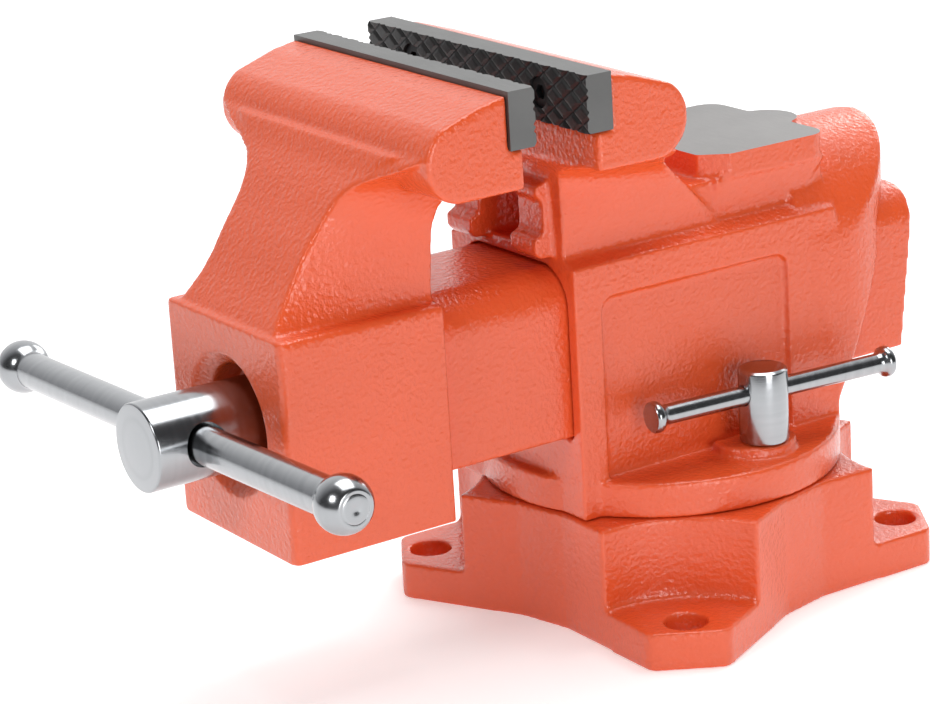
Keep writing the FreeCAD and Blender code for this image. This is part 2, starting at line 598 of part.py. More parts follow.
def moving_jaw():
    """The casting with the moving head, neck, front block and channel-shaped slide."""
    head = slab("YZ", head_outline(MOVING_SEAT_Y, -1), f"-{HEAD_HALF}", HEAD_HALF)
    neck = loft([neck_section(*section) for section in MOVING_NECK])
    block = rounded(
        slab("YZ", box_points(BLOCK_FRONT_Y, BLOCK_BACK_Y, "block_low", BLOCK_TOP),
             "-block_half", "block_half"),
        (lambda edge: straight_along(edge, "Z") and near(middle(edge).y, BLOCK_FRONT_Y),
         "block_round"),
        (lambda edge: straight_along(edge, "Y") and middle(edge).z > number(BLOCK_TOP) - 1,
         "block_round"))
    slide = slab("XZ", channel_points("slide_half", "slide_low", "slide_top", "slide_round"),
                 f"{BLOCK_BACK_Y} - 30", "slide_tail_y")
    tail = slab("YZ", [("slide_tail_y - slide_tail_lean", "slide_low - 1"),
                       ("slide_tail_y + 20", "slide_low - 1"), ("slide_tail_y + 20", "slide_top + 1"),
                       ("slide_tail_y", "slide_top + 1")], "-body_half", "body_half")
    inner = slab("XZ", channel_points("slide_half - slide_wall", "slide_low - 30",
                                      "slide_top - slide_wall", "slide_round - slide_wall"),
                 WALL_BACK_Y, "slide_tail_y + 1")
    recess = rod("Y", ("0", "screw_z"), "recess_dia", f"{BLOCK_FRONT_Y} - 1", SHOULDER_Y)
    mouth = doc.addObject("Part::Cone", "mouth")
    mouth.Placement = FreeCAD.Placement(FreeCAD.Vector(), FreeCAD.Rotation(FreeCAD.Vector(1, 0, 0), -90))
    mouth.setExpression(".Placement.Base.y", bound(f"{BLOCK_FRONT_Y} - 1"))
    mouth.setExpression(".Placement.Base.z", bound("screw_z"))
    mouth.setExpression("Radius1", bound("recess_dia / 2 + mouth_flare + 1"))
    mouth.setExpression("Radius2", bound("recess_dia / 2"))
    mouth.setExpression("Height", bound("mouth_flare + 1"))
    bore = rod("Y", ("0", "screw_z"), "screw_dia + running_fit * 4", f"{SHOULDER_Y} - 1",
               f"{WALL_BACK_Y} + 1")
    notch_z = f"{BLOCK_TOP} + 20"
    notch = slab("YZ", [(f"{BLOCK_BACK_Y} - 9", notch_z), (f"{BLOCK_BACK_Y} + 12", f"{notch_z} - 15"),
                        (f"{BLOCK_BACK_Y} + 12", f"{notch_z} + 15")], "-pipe_outer", "pipe_outer")
    casting = cut(fuse(head, neck, block, cut(slide, tail)), inner, recess, mouth, bore, notch,
                  *screw_holes(MOVING_SEAT_Y, -1))
    return named("moving_jaw", casting)


def jaw_plate(label, grip_y, toward):
    """A hardened jaw plate with countersunk holes; toward is where its back lies."""
    body = new_body(label)
    sketch = new_sketch(body, "XZ", f"-({grip_y})")
    outline(sketch, box_points("-jaw_width / 2", "jaw_width / 2", PLATE_LOW, "jaw_top"))
    pad(body, sketch, "plate_thick", reverse=toward > 0)
    height = "jaw_top - plate_tall / 2"
    for size, deep in (("plate_screw_dia + 0.4", "plate_thick"),
                       ("plate_screw_head + 0.6", "screw_head_tall + screw_head_sunk")):
        holes = new_sketch(body, "XZ", f"-({grip_y})")
        for across in plate_screw_places():
            circle(holes, across, height, size)
        last = pocket(body, holes, deep, reverse=toward < 0)
    seat = f"{grip_y} + plate_thick * {toward}"
    chamfer(body, last, lambda edge: straight_along(edge, "X")
            and not near(middle(edge).y, seat), "0.6")
    return body


def plate_screws(label, grip_y, toward):
    """Two socket screws that hold a jaw plate."""
    height = "jaw_top - plate_tall / 2"

    def between(first, last):
        ends = [f"{grip_y} + {toward} * ({first})", f"{grip_y} + {toward} * ({last})"]
        return ends if toward > 0 else ends[::-1]

    shapes = []
    for across in plate_screw_places():
        head = rod("Y", (across, height), "plate_screw_head",
                   *between("screw_head_sunk", "screw_head_sunk + screw_head_tall"))
        shank = rod("Y", (across, height), "plate_screw_dia - 0.1",
                    *between("screw_head_sunk + screw_head_tall - 0.5",
                             "plate_screw_long + screw_head_sunk"))
        socket = rod("Y", (across, height), "plate_screw_head * 0.45",
                     *between("screw_head_sunk - 1", "screw_head_sunk + 3"))
        shapes.append(cut(fuse(head, shank), socket))
    group = doc.addObject("Part::Compound", label)
    group.Links = shapes
    return named(label, group)


def lead_screw():
    """The main screw: a cross-drilled head, a plain neck and the threaded rod."""
    head = rod("Y", ("0", "screw_z"), "screw_head_dia", SCREW_FRONT_Y, f"{SHOULDER_Y} - face_gap")
    head = rounded(head, (lambda edge: near(edge.BoundBox.YMax, SCREW_FRONT_Y), "1.2"))
    shank = rod("Y", ("0", "screw_z"), "screw_dia", f"{SHOULDER_Y} - 4", "screw_tail_y")
    slant = doc.addObject("Part::Cylinder", "cross_hole")
    place_on_handle(slant, "-screw_head_dia", "handle_dia / 2 + running_fit * 8", "screw_head_dia * 2")
    pin_hole = rod("Z", ("0", COLLAR_MIDDLE_Y), "collar_pin_dia", "screw_z - collar_dia",
                   "screw_z + collar_dia")
    return named("lead_screw", cut(fuse(head, shank), slant, pin_hole))


def place_on_handle(solid, along, radius, long):
    """Lay a cylinder on the handle's tilted axis, starting at a distance along it."""
    tilt = FreeCAD.Rotation(FreeCAD.Vector(0, 1, 0), 90 - SIZES["handle_tilt"])
    solid.Placement = FreeCAD.Placement(FreeCAD.Vector(), tilt)
    solid.setExpression(".Placement.Rotation.Angle", bound("(90 - handle_tilt) * 1deg"))
    solid.setExpression(".Placement.Base.x", bound(f"({along}) * cos(handle_tilt * 1deg)"))
    solid.setExpression(".Placement.Base.y", bound(HANDLE_Y))
    solid.setExpression(".Placement.Base.z", bound(f"screw_z + ({along}) * sin(handle_tilt * 1deg)"))
    solid.setExpression("Radius", bound(radius))
    solid.setExpression("Height", bound(long))


def handle_bar():
    bar = doc.addObject("Part::Cylinder", "bar")
    place_on_handle(bar, "-handle_long / 2 - handle_offset", "handle_dia / 2", "handle_long")
    return named("handle_bar", bar)


def handle_ball(label, side):
    """A ball end with a flat turned face, pressed over the bar's spigot."""
    ball = doc.addObject("Part::Sphere", "ball")
    centre = f"(handle_long / 2 * {side} - handle_offset)"
    ball.setExpression(".Placement.Base.x", bound(f"{centre} * cos(handle_tilt * 1deg)"))
    ball.setExpression(".Placement.Base.y", bound(HANDLE_Y))
    ball.setExpression(".Placement.Base.z", bound(f"screw_z + {centre} * sin(handle_tilt * 1deg)"))
    ball.setExpression("Radius", bound("ball_dia / 2"))
    keep = doc.addObject("Part::Cylinder", "keep")
    face = "sqrt(ball_dia * ball_dia - ball_face_dia * ball_face_dia) / 2"
    start = f"{centre} - ball_dia" if side > 0 else f"{centre} - {face}"
    place_on_handle(keep, start, "ball_dia", f"ball_dia + {face}")
    bore = doc.addObject("Part::Cylinder", "bore")
    bar_start = "-handle_long / 2 - handle_offset"
    place_on_handle(bore, bar_start, "handle_dia / 2", "handle_long")
    return named(label, cut(common(ball, keep), bore))


def screw_collar():
    collar = rod("Y", ("0", "screw_z"), "collar_dia", COLLAR_FRONT_Y, f"{COLLAR_FRONT_Y} + collar_long")
    bore = rod("Y", ("0", "screw_z"), "screw_dia", f"{COLLAR_FRONT_Y} - 1",
               f"{COLLAR_FRONT_Y} + collar_long + 1")
    hole = rod("Z", ("0", COLLAR_MIDDLE_Y), "collar_pin_dia", "screw_z - collar_dia",
               "screw_z + collar_dia")
    return named("screw_collar", cut(collar, bore, hole))


def collar_pin():
    return named("collar_pin", rod("Z", ("0", COLLAR_MIDDLE_Y), "collar_pin_dia",
                                   "screw_z - collar_dia / 2 - 1.5", "screw_z + collar_dia / 2 + 1.5"))


def thrust_washer():
    """The washer between the casting wall and the screw's collar."""
    ring = rod("Y", ("0", "screw_z"), "collar_dia + 4", WALL_BACK_Y, f"{WALL_BACK_Y} + washer_thick")
    bore = rod("Y", ("0", "screw_z"), "screw_dia + running_fit * 4", f"{WALL_BACK_Y} - 1",
               f"{WALL_BACK_Y} + washer_thick + 1")
    return named("thrust_washer", cut(ring, bore))


def main_nut():
    """The nut block that stands inside the slide on the housing floor."""
    back = "nut_front_y + nut_long"
    block = slab("XZ", [
        ("nut_wide / 2", "floor_top"), ("nut_wide / 2", "screw_z + 6"),
        ("nut_wide / 2 - 10", "screw_z + nut_above"), ("-nut_wide / 2 + 10", "screw_z + nut_above"),
        ("-nut_wide / 2", "screw_z + 6"), ("-nut_wide / 2", "floor_top")], "nut_front_y", back)
    bore = rod("Y", ("0", "screw_z"), "screw_dia + running_fit * 2", "nut_front_y - 1", f"{back} + 1")
    tapped = rod("Z", ("0", "nut_front_y + nut_long / 2"), "nut_bolt_dia", "floor_top - 1",
                 "screw_z - screw_dia / 2 - 2")
    return named("main_nut", cut(block, bore, tapped))


def nut_bolt():
    middle_y = "nut_front_y + nut_long / 2"
    head = rod("Z", ("0", middle_y), "nut_bolt_head", f"{DISC_LOW} + 1",
               f"{DISC_LOW} + 1 + nut_bolt_head_tall")
    shank = rod("Z", ("0", middle_y), "nut_bolt_dia", f"{DISC_LOW} + nut_bolt_head_tall",
                "screw_z - screw_dia / 2 - 3")
    socket = rod("Z", ("0", middle_y), "nut_bolt_head / 2", f"{DISC_LOW}", f"{DISC_LOW} + 6")
    return named("nut_bolt", cut(fuse(head, shank), socket))


def lock_point(side, along):
    """A place on a lock bar's axis, at a distance from the lock screw."""
    turn = "lock_bar_turn * 1deg"
    return (f"{side} * (lock_x + ({along}) * sin({turn}))", f"lock_y + ({along}) * cos({turn})")


def lock_rod(side, start, long, radius):
    """A cylinder on a lock bar's axis."""
    solid = doc.addObject("Part::Cylinder", "lock_rod")
    across = FreeCAD.Rotation(FreeCAD.Vector(1, 0, 0), -90)
    lean = FreeCAD.Rotation(FreeCAD.Vector(0, 0, 1), -side * SIZES["lock_bar_turn"])
    solid.Placement = FreeCAD.Placement(FreeCAD.Vector(), lean * across)
    x, y = lock_point(side, start)
    solid.setExpression(".Placement.Base.x", bound(x))
    solid.setExpression(".Placement.Base.y", bound(y))
    solid.setExpression(".Placement.Base.z", bound("lock_bar_z"))
    solid.setExpression("Radius", bound(radius))
    solid.setExpression("Height", bound(long))
    return solid


def lock_screw(label, side):
    """A turntable clamp screw with its cross-drilled head."""
    centre = (f"lock_x * {side}", "lock_y")
    head = rod("Z", centre, "lock_head_dia", f"{GROUND_PAD} + face_gap", "lock_head_top")
    head = rounded(head, (lambda edge: near(edge.BoundBox.ZMin, "lock_head_top"), "1"))
    shank = rod("Z", centre, "lock_shank_dia", "base_tall - slot_deep + 2",
                f"{GROUND_PAD} + 2")
    hole = lock_rod(side, "-lock_head_dia", "lock_head_dia * 2", "lock_bar_dia / 2 + running_fit * 2")
    return named(label, cut(fuse(head, shank), hole))


def clamp_nut(label, side):
    """The T-shaped nut that slides in the base's round slot."""
    centre = (f"lock_x * {side}", "lock_y")
    lip, floor = "base_tall - slot_lip", "base_tall - slot_deep"
    wide = rod("Z", centre, "slot_under_wide - 2", f"{floor} + 1", f"{lip} - face_gap")
    stem = rod("Z", centre, "slot_wide - 1.2", f"{lip} - 1", "base_tall - 1")
    ring = cut(rod("Z", ("0", "0"), "(slot_radius + slot_under_wide / 2 - face_gap) * 2", floor, lip),
               rod("Z", ("0", "0"), "(slot_radius - slot_under_wide / 2 + face_gap) * 2", floor, lip))
    bore = rod("Z", centre, "lock_shank_dia + running_fit * 2", f"{floor} - 1", "base_tall + 1")
    return named(label, cut(fuse(common(wide, ring), stem), bore))


def lock_bar(label, side):
    long = "lock_bar_front + lock_bar_back - lock_cap_long"
    return named(label, lock_rod(side, "-lock_bar_front + lock_cap_long / 2", long, "lock_bar_dia / 2"))


def lock_caps(label, side):
    """The two turned end caps of a lock bar."""
    bar = "-lock_bar_front + lock_cap_long / 2"
    shapes = []
    for start in ("-lock_bar_front", "lock_bar_back - lock_cap_long"):
        cap = lock_rod(side, start, "lock_cap_long", "lock_cap_dia / 2")
        cap = rounded(cap, (lambda edge: isinstance(edge.Curve, Part.Circle), "2.2"))
        shapes.append(cut(cap, lock_rod(side, bar, "lock_bar_front + lock_bar_back - lock_cap_long",
                                        "lock_bar_dia / 2")))
    group = doc.addObject("Part::Compound", label)
    group.Links = shapes
    return named(label, group)



def take_up_spring():
    """The short spring that keeps the screw's head against the jaw casting."""
    ring = rod("Y", ("0", "screw_z"), "collar_dia - 1", f"{WALL_BACK_Y} + washer_thick",
               f"{COLLAR_FRONT_Y} - face_gap")
    bore = rod("Y", ("0", "screw_z"), "screw_dia + 1.5", f"{WALL_BACK_Y}", f"{COLLAR_FRONT_Y} + 1")
    return named("take_up_spring", cut(ring, bore))


def build():
    swivel_base()
    pivot_pin()
    fixed_jaw_body()
    jaw_plate("fixed_jaw_plate", "fixed_grip_y", 1)
    plate_screws("fixed_plate_screws", "fixed_grip_y", 1)
    main_nut()
    nut_bolt()
    moving_jaw()
    jaw_plate("moving_jaw_plate", MOVING_GRIP_Y, -1)
    plate_screws("moving_plate_screws", MOVING_GRIP_Y, -1)
    thrust_washer()
    take_up_spring()
    lead_screw()
    screw_collar()
    collar_pin()
    handle_bar()
    handle_ball("handle_ball_right", 1)
    handle_ball("handle_ball_left", -1)
    for name, side in (("right", 1), ("left", -1)):
        lock_screw(f"lock_screw_{name}", side)
        clamp_nut(f"clamp_nut_{name}", side)
        lock_bar(f"lock_bar_{name}", side)
        lock_caps(f"lock_bar_caps_{name}", side)


def write():
    """Refuse anything that failed, then write one file for each node."""
    doc.recompute()
    for item in doc.Objects:
        if {"Invalid", "Error"} & set(item.State):
            raise ValueError(f"{item.Label} failed: {item.State}")
    os.makedirs("parts", exist_ok=True)
    for node in nodes:
        shape = node.Shape
        if shape.isNull() or not shape.isValid() or not shape.Solids:
            raise ValueError(f"{node.Label} has no valid solid")
        shape.exportStep(f"parts/{node.Label}.step")
        print(f"{node.Label}: {len(shape.Solids)} solid(s), {shape.Volume / 1000:.1f} cm3")


build()
write()
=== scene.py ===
import json
import math

import bmesh
import bpy
from mathutils import Matrix, Vector


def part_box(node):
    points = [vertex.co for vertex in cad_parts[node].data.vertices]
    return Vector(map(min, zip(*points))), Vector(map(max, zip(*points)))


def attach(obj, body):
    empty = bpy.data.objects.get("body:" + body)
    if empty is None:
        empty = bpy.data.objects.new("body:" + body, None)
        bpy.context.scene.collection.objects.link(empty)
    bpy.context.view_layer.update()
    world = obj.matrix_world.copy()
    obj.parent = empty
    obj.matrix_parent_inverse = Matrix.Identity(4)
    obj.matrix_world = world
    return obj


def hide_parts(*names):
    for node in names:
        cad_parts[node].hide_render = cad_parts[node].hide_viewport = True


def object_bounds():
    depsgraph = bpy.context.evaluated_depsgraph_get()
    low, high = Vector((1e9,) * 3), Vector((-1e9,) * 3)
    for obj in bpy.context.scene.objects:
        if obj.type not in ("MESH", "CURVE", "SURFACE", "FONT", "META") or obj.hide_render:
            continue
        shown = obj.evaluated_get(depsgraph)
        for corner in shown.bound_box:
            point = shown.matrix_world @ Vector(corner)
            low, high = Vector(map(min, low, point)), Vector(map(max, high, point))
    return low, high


bl_info = {
    "name": "Swivel Bench Vise",
    "version": (1, 0, 0),
    "blender": (4, 5, 0),
    "location": "View3D > Sidebar > Bench Vise",
    "description": "Finishes a cast bench vise: castings, jaw plates, screws, handle and studio",
    "category": "Object",
}

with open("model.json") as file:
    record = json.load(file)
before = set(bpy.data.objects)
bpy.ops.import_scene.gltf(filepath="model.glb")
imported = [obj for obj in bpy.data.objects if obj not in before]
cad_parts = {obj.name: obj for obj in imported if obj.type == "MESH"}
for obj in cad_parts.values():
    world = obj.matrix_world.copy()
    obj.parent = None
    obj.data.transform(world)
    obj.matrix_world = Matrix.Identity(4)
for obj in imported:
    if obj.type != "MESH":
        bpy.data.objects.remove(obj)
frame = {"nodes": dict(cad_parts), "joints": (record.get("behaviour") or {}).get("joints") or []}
CAD_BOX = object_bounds()
MM = 0.001
SIDES = (("right", 1), ("left", -1))
SHARP = 32  # degrees; turned pieces keep edges sharper than this crisp
CAST_SHARP = 50
BEHIND_PLATE = 60 * MM  # the anvil's ground face starts this far behind the fixed plate
ANVIL_BACK = 80 * MM  # all of the body further back than this is anvil or lower
NOSE_SET_BACK = 42.9 * MM  # from the moving plate's seat to the head's nose
BAR_CLEARANCE = 1.3 * MM  # round the handle bar in its cross hole
CLAMP_CLEARANCE = 0.25 * MM  # round a clamp bar in its hole
COUNTERBORE_GAP = 0.3 * MM  # round a plate screw's head
COUNTERBORE_DEEP = 7.5 * MM
SHANK_HOLE = 4.2 * MM  # radius
SHANK = 3.9 * MM  # radius
HEAD_TALL = 5 * MM
HEAD_SUNK = 2.5 * MM  # a plate screw's head centre behind its own front
SHANK_END_GAP = 3 * MM
PLATE_GRID = 0.55 * MM
NECK_OVERLAP = 3 * MM  # the turned head runs this far past the collar
CLAMP_FOOT = 5.98 * MM  # radius of a clamp screw's shank
SPRING_WIRE = 1.6 * MM  # radius
WASHER_BORE = 13.1 * MM  # radius
COLLAR_BORE = 12.72 * MM  # radius
FLOOR_HALF = 12
SENSOR = 36


# ---------------------------------------------------------------- settings

class CastingSettings(bpy.types.PropertyGroup):
    grid: bpy.props.FloatProperty(
        name="Skin Grid", description="Size of the cells that the cast skins are rebuilt on",
        default=1.0 * MM, min=0.8 * MM, subtype="DISTANCE", unit="LENGTH", precision=5)
    softening: bpy.props.IntProperty(
        name="Edge Softening", description="How many times the cast skin is relaxed",
        default=12, min=0, max=40)
    most_faces: bpy.props.IntProperty(
        name="Most Triangles", description="Triangles kept in each cast skin",
        default=185000, min=20000)
    grinding: bpy.props.FloatProperty(
        name="Grinding Stock", description="Height ground off the anvil after casting",
        default=3.0 * MM, subtype="DISTANCE", unit="LENGTH", precision=5)
    enamel: bpy.props.FloatVectorProperty(
        name="Enamel", description="Colour of the enamel on the castings", subtype="COLOR",
        size=3, min=0, max=1, default=(0.75, 0.098, 0.026))
    pebble: bpy.props.FloatProperty(
        name="Pebble Size", description="Size of the sand-cast pebbles under the enamel",
        default=1.7 * MM, subtype="DISTANCE", unit="LENGTH", precision=5)


class PlateSettings(bpy.types.PropertyGroup):
    cell_long: bpy.props.FloatProperty(
        name="Diamond Length", description="Length of one diamond along the jaw",
        default=13.0 * MM, subtype="DISTANCE", unit="LENGTH", precision=5)
    cell_tall: bpy.props.FloatProperty(
        name="Diamond Height", description="Height of one diamond",
        default=9.0 * MM, subtype="DISTANCE", unit="LENGTH", precision=5)
    groove_deep: bpy.props.FloatProperty(
        name="Groove Depth", description="Depth of the grooves in the gripping face",
        default=1.1 * MM, subtype="DISTANCE", unit="LENGTH", precision=5)
    groove_wide: bpy.props.FloatProperty(
        name="Groove Width", description="Width of a groove at the gripping face",
        default=2.3 * MM, subtype="DISTANCE", unit="LENGTH", precision=5)


class ScrewSettings(bpy.types.PropertyGroup):
    lead: bpy.props.FloatProperty(
        name="Lead", description="How far the jaw moves in one turn of the screw",
        default=5.08 * MM, subtype="DISTANCE", unit="LENGTH", precision=5)
    thread_deep: bpy.props.FloatProperty(
        name="Thread Depth", description="Depth of the trapezoidal thread",
        default=2.4 * MM, subtype="DISTANCE", unit="LENGTH", precision=5)
    spring_turns: bpy.props.FloatProperty(
        name="Spring Turns", description="Turns of the take-up spring", default=4.5)


class StudioSettings(bpy.types.PropertyGroup):
    azimuth: bpy.props.FloatProperty(
        name="Azimuth", description="Camera direction round the vise",
        default=math.radians(57.069), subtype="ANGLE", unit="ROTATION")
    elevation: bpy.props.FloatProperty(
        name="Elevation", description="Camera height above the horizon",
        default=math.radians(17.403), subtype="ANGLE", unit="ROTATION")
    roll: bpy.props.FloatProperty(
        name="Roll", description="Turn of the camera about its own view",
        default=math.radians(-3.437), subtype="ANGLE", unit="ROTATION")
    distance: bpy.props.FloatProperty(
        name="Distance", description="Distance from the aim point to the camera",
        default=1.35, subtype="DISTANCE", unit="LENGTH")
    aim: bpy.props.FloatVectorProperty(
        name="Aim", description="Point that the camera looks at", size=3,
        subtype="XYZ", unit="LENGTH", default=(0.0175, -0.1115, 0.1333))
    lens: bpy.props.FloatProperty(
        name="Lens", description="Focal length in millimetres on a 36 mm sensor",
        default=121.17, min=10)


# ---------------------------------------------------------------- mesh tools

def new_object(name, mesh):
    thing = bpy.data.objects.new(name, mesh)
    bpy.context.scene.collection.objects.link(thing)
    return thing


def built(name, build):
    """An object from a finished bmesh."""
    mesh = bpy.data.meshes.new(name)
    build.to_mesh(mesh)
    build.free()
    return new_object(name, mesh)


def settle(thing):
    """Turn an object and its modifiers into one plain mesh."""
    graph = bpy.context.evaluated_depsgraph_get()
    mesh = bpy.data.meshes.new_from_object(
        thing.evaluated_get(graph), preserve_all_data_layers=True, depsgraph=graph)
    thing.modifiers.clear()
    thing.data = mesh
    return thing


def copy_of_node(name, node):
    """A merged copy of a CAD node's mesh, free to be changed."""
    mesh = frame["nodes"][node].data.copy()
    mesh.materials.clear()
    build = bmesh.new()
    build.from_mesh(mesh)
    bmesh.ops.remove_doubles(build, verts=build.verts, dist=1e-6)
    build.to_mesh(mesh)
    build.free()
    return new_object(name, mesh)


def carve(thing, cutters):
    """Cut closed shapes out of a piece and throw the cutters away."""
    for cutter in cutters:
        hole = thing.modifiers.new("hole", "BOOLEAN")
        hole.operation = "DIFFERENCE"
        hole.solver = "EXACT"
        hole.object = cutter
        hole.material_mode = "TRANSFER"
    settle(thing)
    for cutter in cutters:
        bpy.data.objects.remove(cutter)
    return thing


def block(name, low, high, material):
    """A plain box, used as a cutter."""
    low, high = Vector(low), Vector(high)
    build = bmesh.new()
    bmesh.ops.create_cube(build, size=1)
    size = Matrix.Diagonal(high - low).to_4x4()
    bmesh.ops.transform(build, matrix=Matrix.Translation((low + high) / 2) @ size,
                        verts=build.verts)
    thing = built(name, build)
    thing.data.materials.append(material)
    return thing


def arc(centre, radius, start, end, steps=8):
    """Points of an arc in (along, out) coordinates; angles in degrees from the axis."""
    angles = [math.radians(start + (end - start) * step / steps) for step in range(steps + 1)]
    return [(centre[0] + radius * math.cos(a), centre[1] + radius * math.sin(a)) for a in angles]


def skin_between(build, near, far):
    """Faces between two rows of vertices, where one row may be a single point."""
    segments = max(len(near), len(far))
    for step in range(segments):
        after = (step + 1) % segments
        if len(near) == 1:
            build.faces.new((near[0], far[after], far[step]))
        elif len(far) == 1:
            build.faces.new((near[step], near[after], far[0]))
        else:
            build.faces.new((near[step], near[after], far[after], far[step]))


def turned(name, stations, origin, axis, segments=96, ring=False):
    """A round piece turned on an axis from (along, radius) stations.

    A solid piece starts and ends on the axis; a ring's stations form a closed loop.
    """
    axis = Vector(axis).normalized()
    across = axis.orthogonal().normalized()
    up = axis.cross(across)
    origin = Vector(origin)
    build = bmesh.new()
    rows = []
    for along, radius in stations:
        centre = origin + axis * along
        if radius < 1e-7:
            rows.append([build.verts.new(centre)])
            continue
        row = []
        for step in range(segments):
            angle = 2 * math.pi * step / segments
            spoke = across * math.cos(angle) + up * math.sin(angle)
            row.append(build.verts.new(centre + spoke * radius))
        rows.append(row)
    pairs = list(zip(rows, rows[1:]))
    if ring:
        pairs.append((rows[-1], rows[0]))
    for near, far in pairs:
        skin_between(build, near, far)
    bmesh.ops.recalc_face_normals(build, faces=build.faces)
    return built(name, build)


def smooth(thing, angle=35):
    """Shade smooth, keeping edges sharper than the angle crisp."""
    thing.data.shade_smooth()
    thing.data.set_sharp_from_angle(angle=math.radians(angle))
    return thing


def finish_piece(thing, body, materials, nodes=()):
    """Give a finished piece its materials, its body and the nodes it replaces."""
    if not thing.data.materials:
        for material in materials:
            thing.data.materials.append(material)
    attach(thing, body)
    if nodes:
        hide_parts(*nodes)
    return thing


def joint(name):
    return [item for item in frame["joints"] if item["name"] == name][0]


def measured(node, origin, axis):
    """Each of a node's vertices as (place along an axis, distance from it)."""
    axis = Vector(axis).normalized()
    places = []
    for vertex in frame["nodes"][node].data.vertices:
        out = vertex.co - Vector(origin)
        along = out.dot(axis)
        places.append((along, (out - axis * along).length))
    return places


def wide_part(node, origin, axis, radius):
    """The lowest and highest place along an axis where a node is wider than the radius."""
    places = [along for along, out in measured(node, origin, axis) if out > radius]
    return min(places), max(places)


def end_radius(node, origin, axis):
    """The radius of the flat end that a node has towards an axis direction."""
    places = measured(node, origin, axis)
    far = max(along for along, _ in places)
    return max(radius for along, radius in places if far - along < 0.02 * MM)


# ---------------------------------------------------------------- shader tools

def add(tree, kind, **inputs):
    """A shader or geometry node; keywords set its sockets, or its own properties."""
    made = tree.nodes.new(kind)
    for key, value in inputs.items():
        if hasattr(made, key):
            setattr(made, key, value)
        else:
            made.inputs[key.replace("_", " ")].default_value = value
    return made


def maths(tree, operation, *values):
    """A math node on sockets and plain numbers, as its result's socket."""
    made = add(tree, "ShaderNodeMath", operation=operation)
    for slot, value in zip(made.inputs, values):
        if isinstance(value, (int, float)):
            slot.default_value = value
        else:
            tree.links.new(value, slot)
    return made.outputs[0]


def preset(node, values):
    for key, value in values.items():
        node.inputs[key.replace("_", " ")].default_value = value


def shader_group(name, inputs, outputs):
    """An empty shader group with named sockets, as (tree, input node, output node)."""
    tree = bpy.data.node_groups.new(name, "ShaderNodeTree")
    for title, kind, default in inputs:
        socket = tree.interface.new_socket(title, in_out="INPUT", socket_type=kind)
        if default is not None:
            socket.default_value = default
    for title, kind in outputs:
        tree.interface.new_socket(title, in_out="OUTPUT", socket_type=kind)
    return tree, tree.nodes.new("NodeGroupInput"), tree.nodes.new("NodeGroupOutput")


def sand_cast(name):
    """Fine pebbling of a sand casting: Height for bump, Mottle for colour."""
    tree, given, result = shader_group(
        name,
        [("Position", "NodeSocketVector", None), ("Pebble Size", "NodeSocketFloat", 0.002),
         ("Waviness", "NodeSocketFloat", 0.4)],
        [("Height", "NodeSocketFloat"), ("Mottle", "NodeSocketFloat"),
         ("Gloss Break", "NodeSocketFloat")])
    link = tree.links.new
    rate = maths(tree, "DIVIDE", 1.0, given.outputs["Pebble Size"])
    fine = add(tree, "ShaderNodeTexNoise", Detail=3.0, Roughness=0.55)
    broad = add(tree, "ShaderNodeTexNoise", Scale=60.0, Detail=2.0)
    patch = add(tree, "ShaderNodeTexNoise", Scale=14.0, Detail=3.0)
    pits = add(tree, "ShaderNodeTexVoronoi", feature="SMOOTH_F1", Smoothness=0.6)
    for texture in (fine, broad, patch, pits):
        link(given.outputs["Position"], texture.inputs["Vector"])
    link(rate, fine.inputs["Scale"])
    link(maths(tree, "MULTIPLY", rate, 0.7), pits.inputs["Scale"])
    grain = maths(tree, "MULTIPLY_ADD", pits.outputs["Distance"], 0.6, fine.outputs["Fac"])
    wave = maths(tree, "MULTIPLY_ADD", broad.outputs["Fac"], given.outputs["Waviness"], grain)
    link(wave, result.inputs["Height"])
    link(patch.outputs["Fac"], result.inputs["Mottle"])
    link(broad.outputs["Fac"], result.inputs["Gloss Break"])
    return tree


def lathe_marks(name):
    """Fine rings left by a lathe about the local Z axis: Height and Tone."""
    tree, given, result = shader_group(
        name,
        [("Position", "NodeSocketVector", None), ("Rings", "NodeSocketFloat", 2600.0)],
        [("Height", "NodeSocketFloat"), ("Tone", "NodeSocketFloat")])
    link = tree.links.new
    parts = add(tree, "ShaderNodeSeparateXYZ")
    link(given.outputs["Position"], parts.inputs[0])
    flat = add(tree, "ShaderNodeCombineXYZ")
    link(parts.outputs["X"], flat.inputs["X"])
    link(parts.outputs["Y"], flat.inputs["Y"])
    radius = add(tree, "ShaderNodeVectorMath", operation="LENGTH")
    link(flat.outputs[0], radius.inputs[0])
    spread = maths(tree, "ADD", radius.outputs["Value"], parts.outputs["Z"])
    rings = add(tree, "ShaderNodeTexNoise", noise_dimensions="1D", Detail=2.0, Roughness=0.6)
    link(spread, rings.inputs["W"])
    link(given.outputs["Rings"], rings.inputs["Scale"])
    broad = add(tree, "ShaderNodeTexNoise", noise_dimensions="1D", Scale=260.0, Detail=2.0)
    link(spread, broad.inputs["W"])
    link(rings.outputs["Fac"], result.inputs["Height"])
    link(broad.outputs["Fac"], result.inputs["Tone"])
    return tree


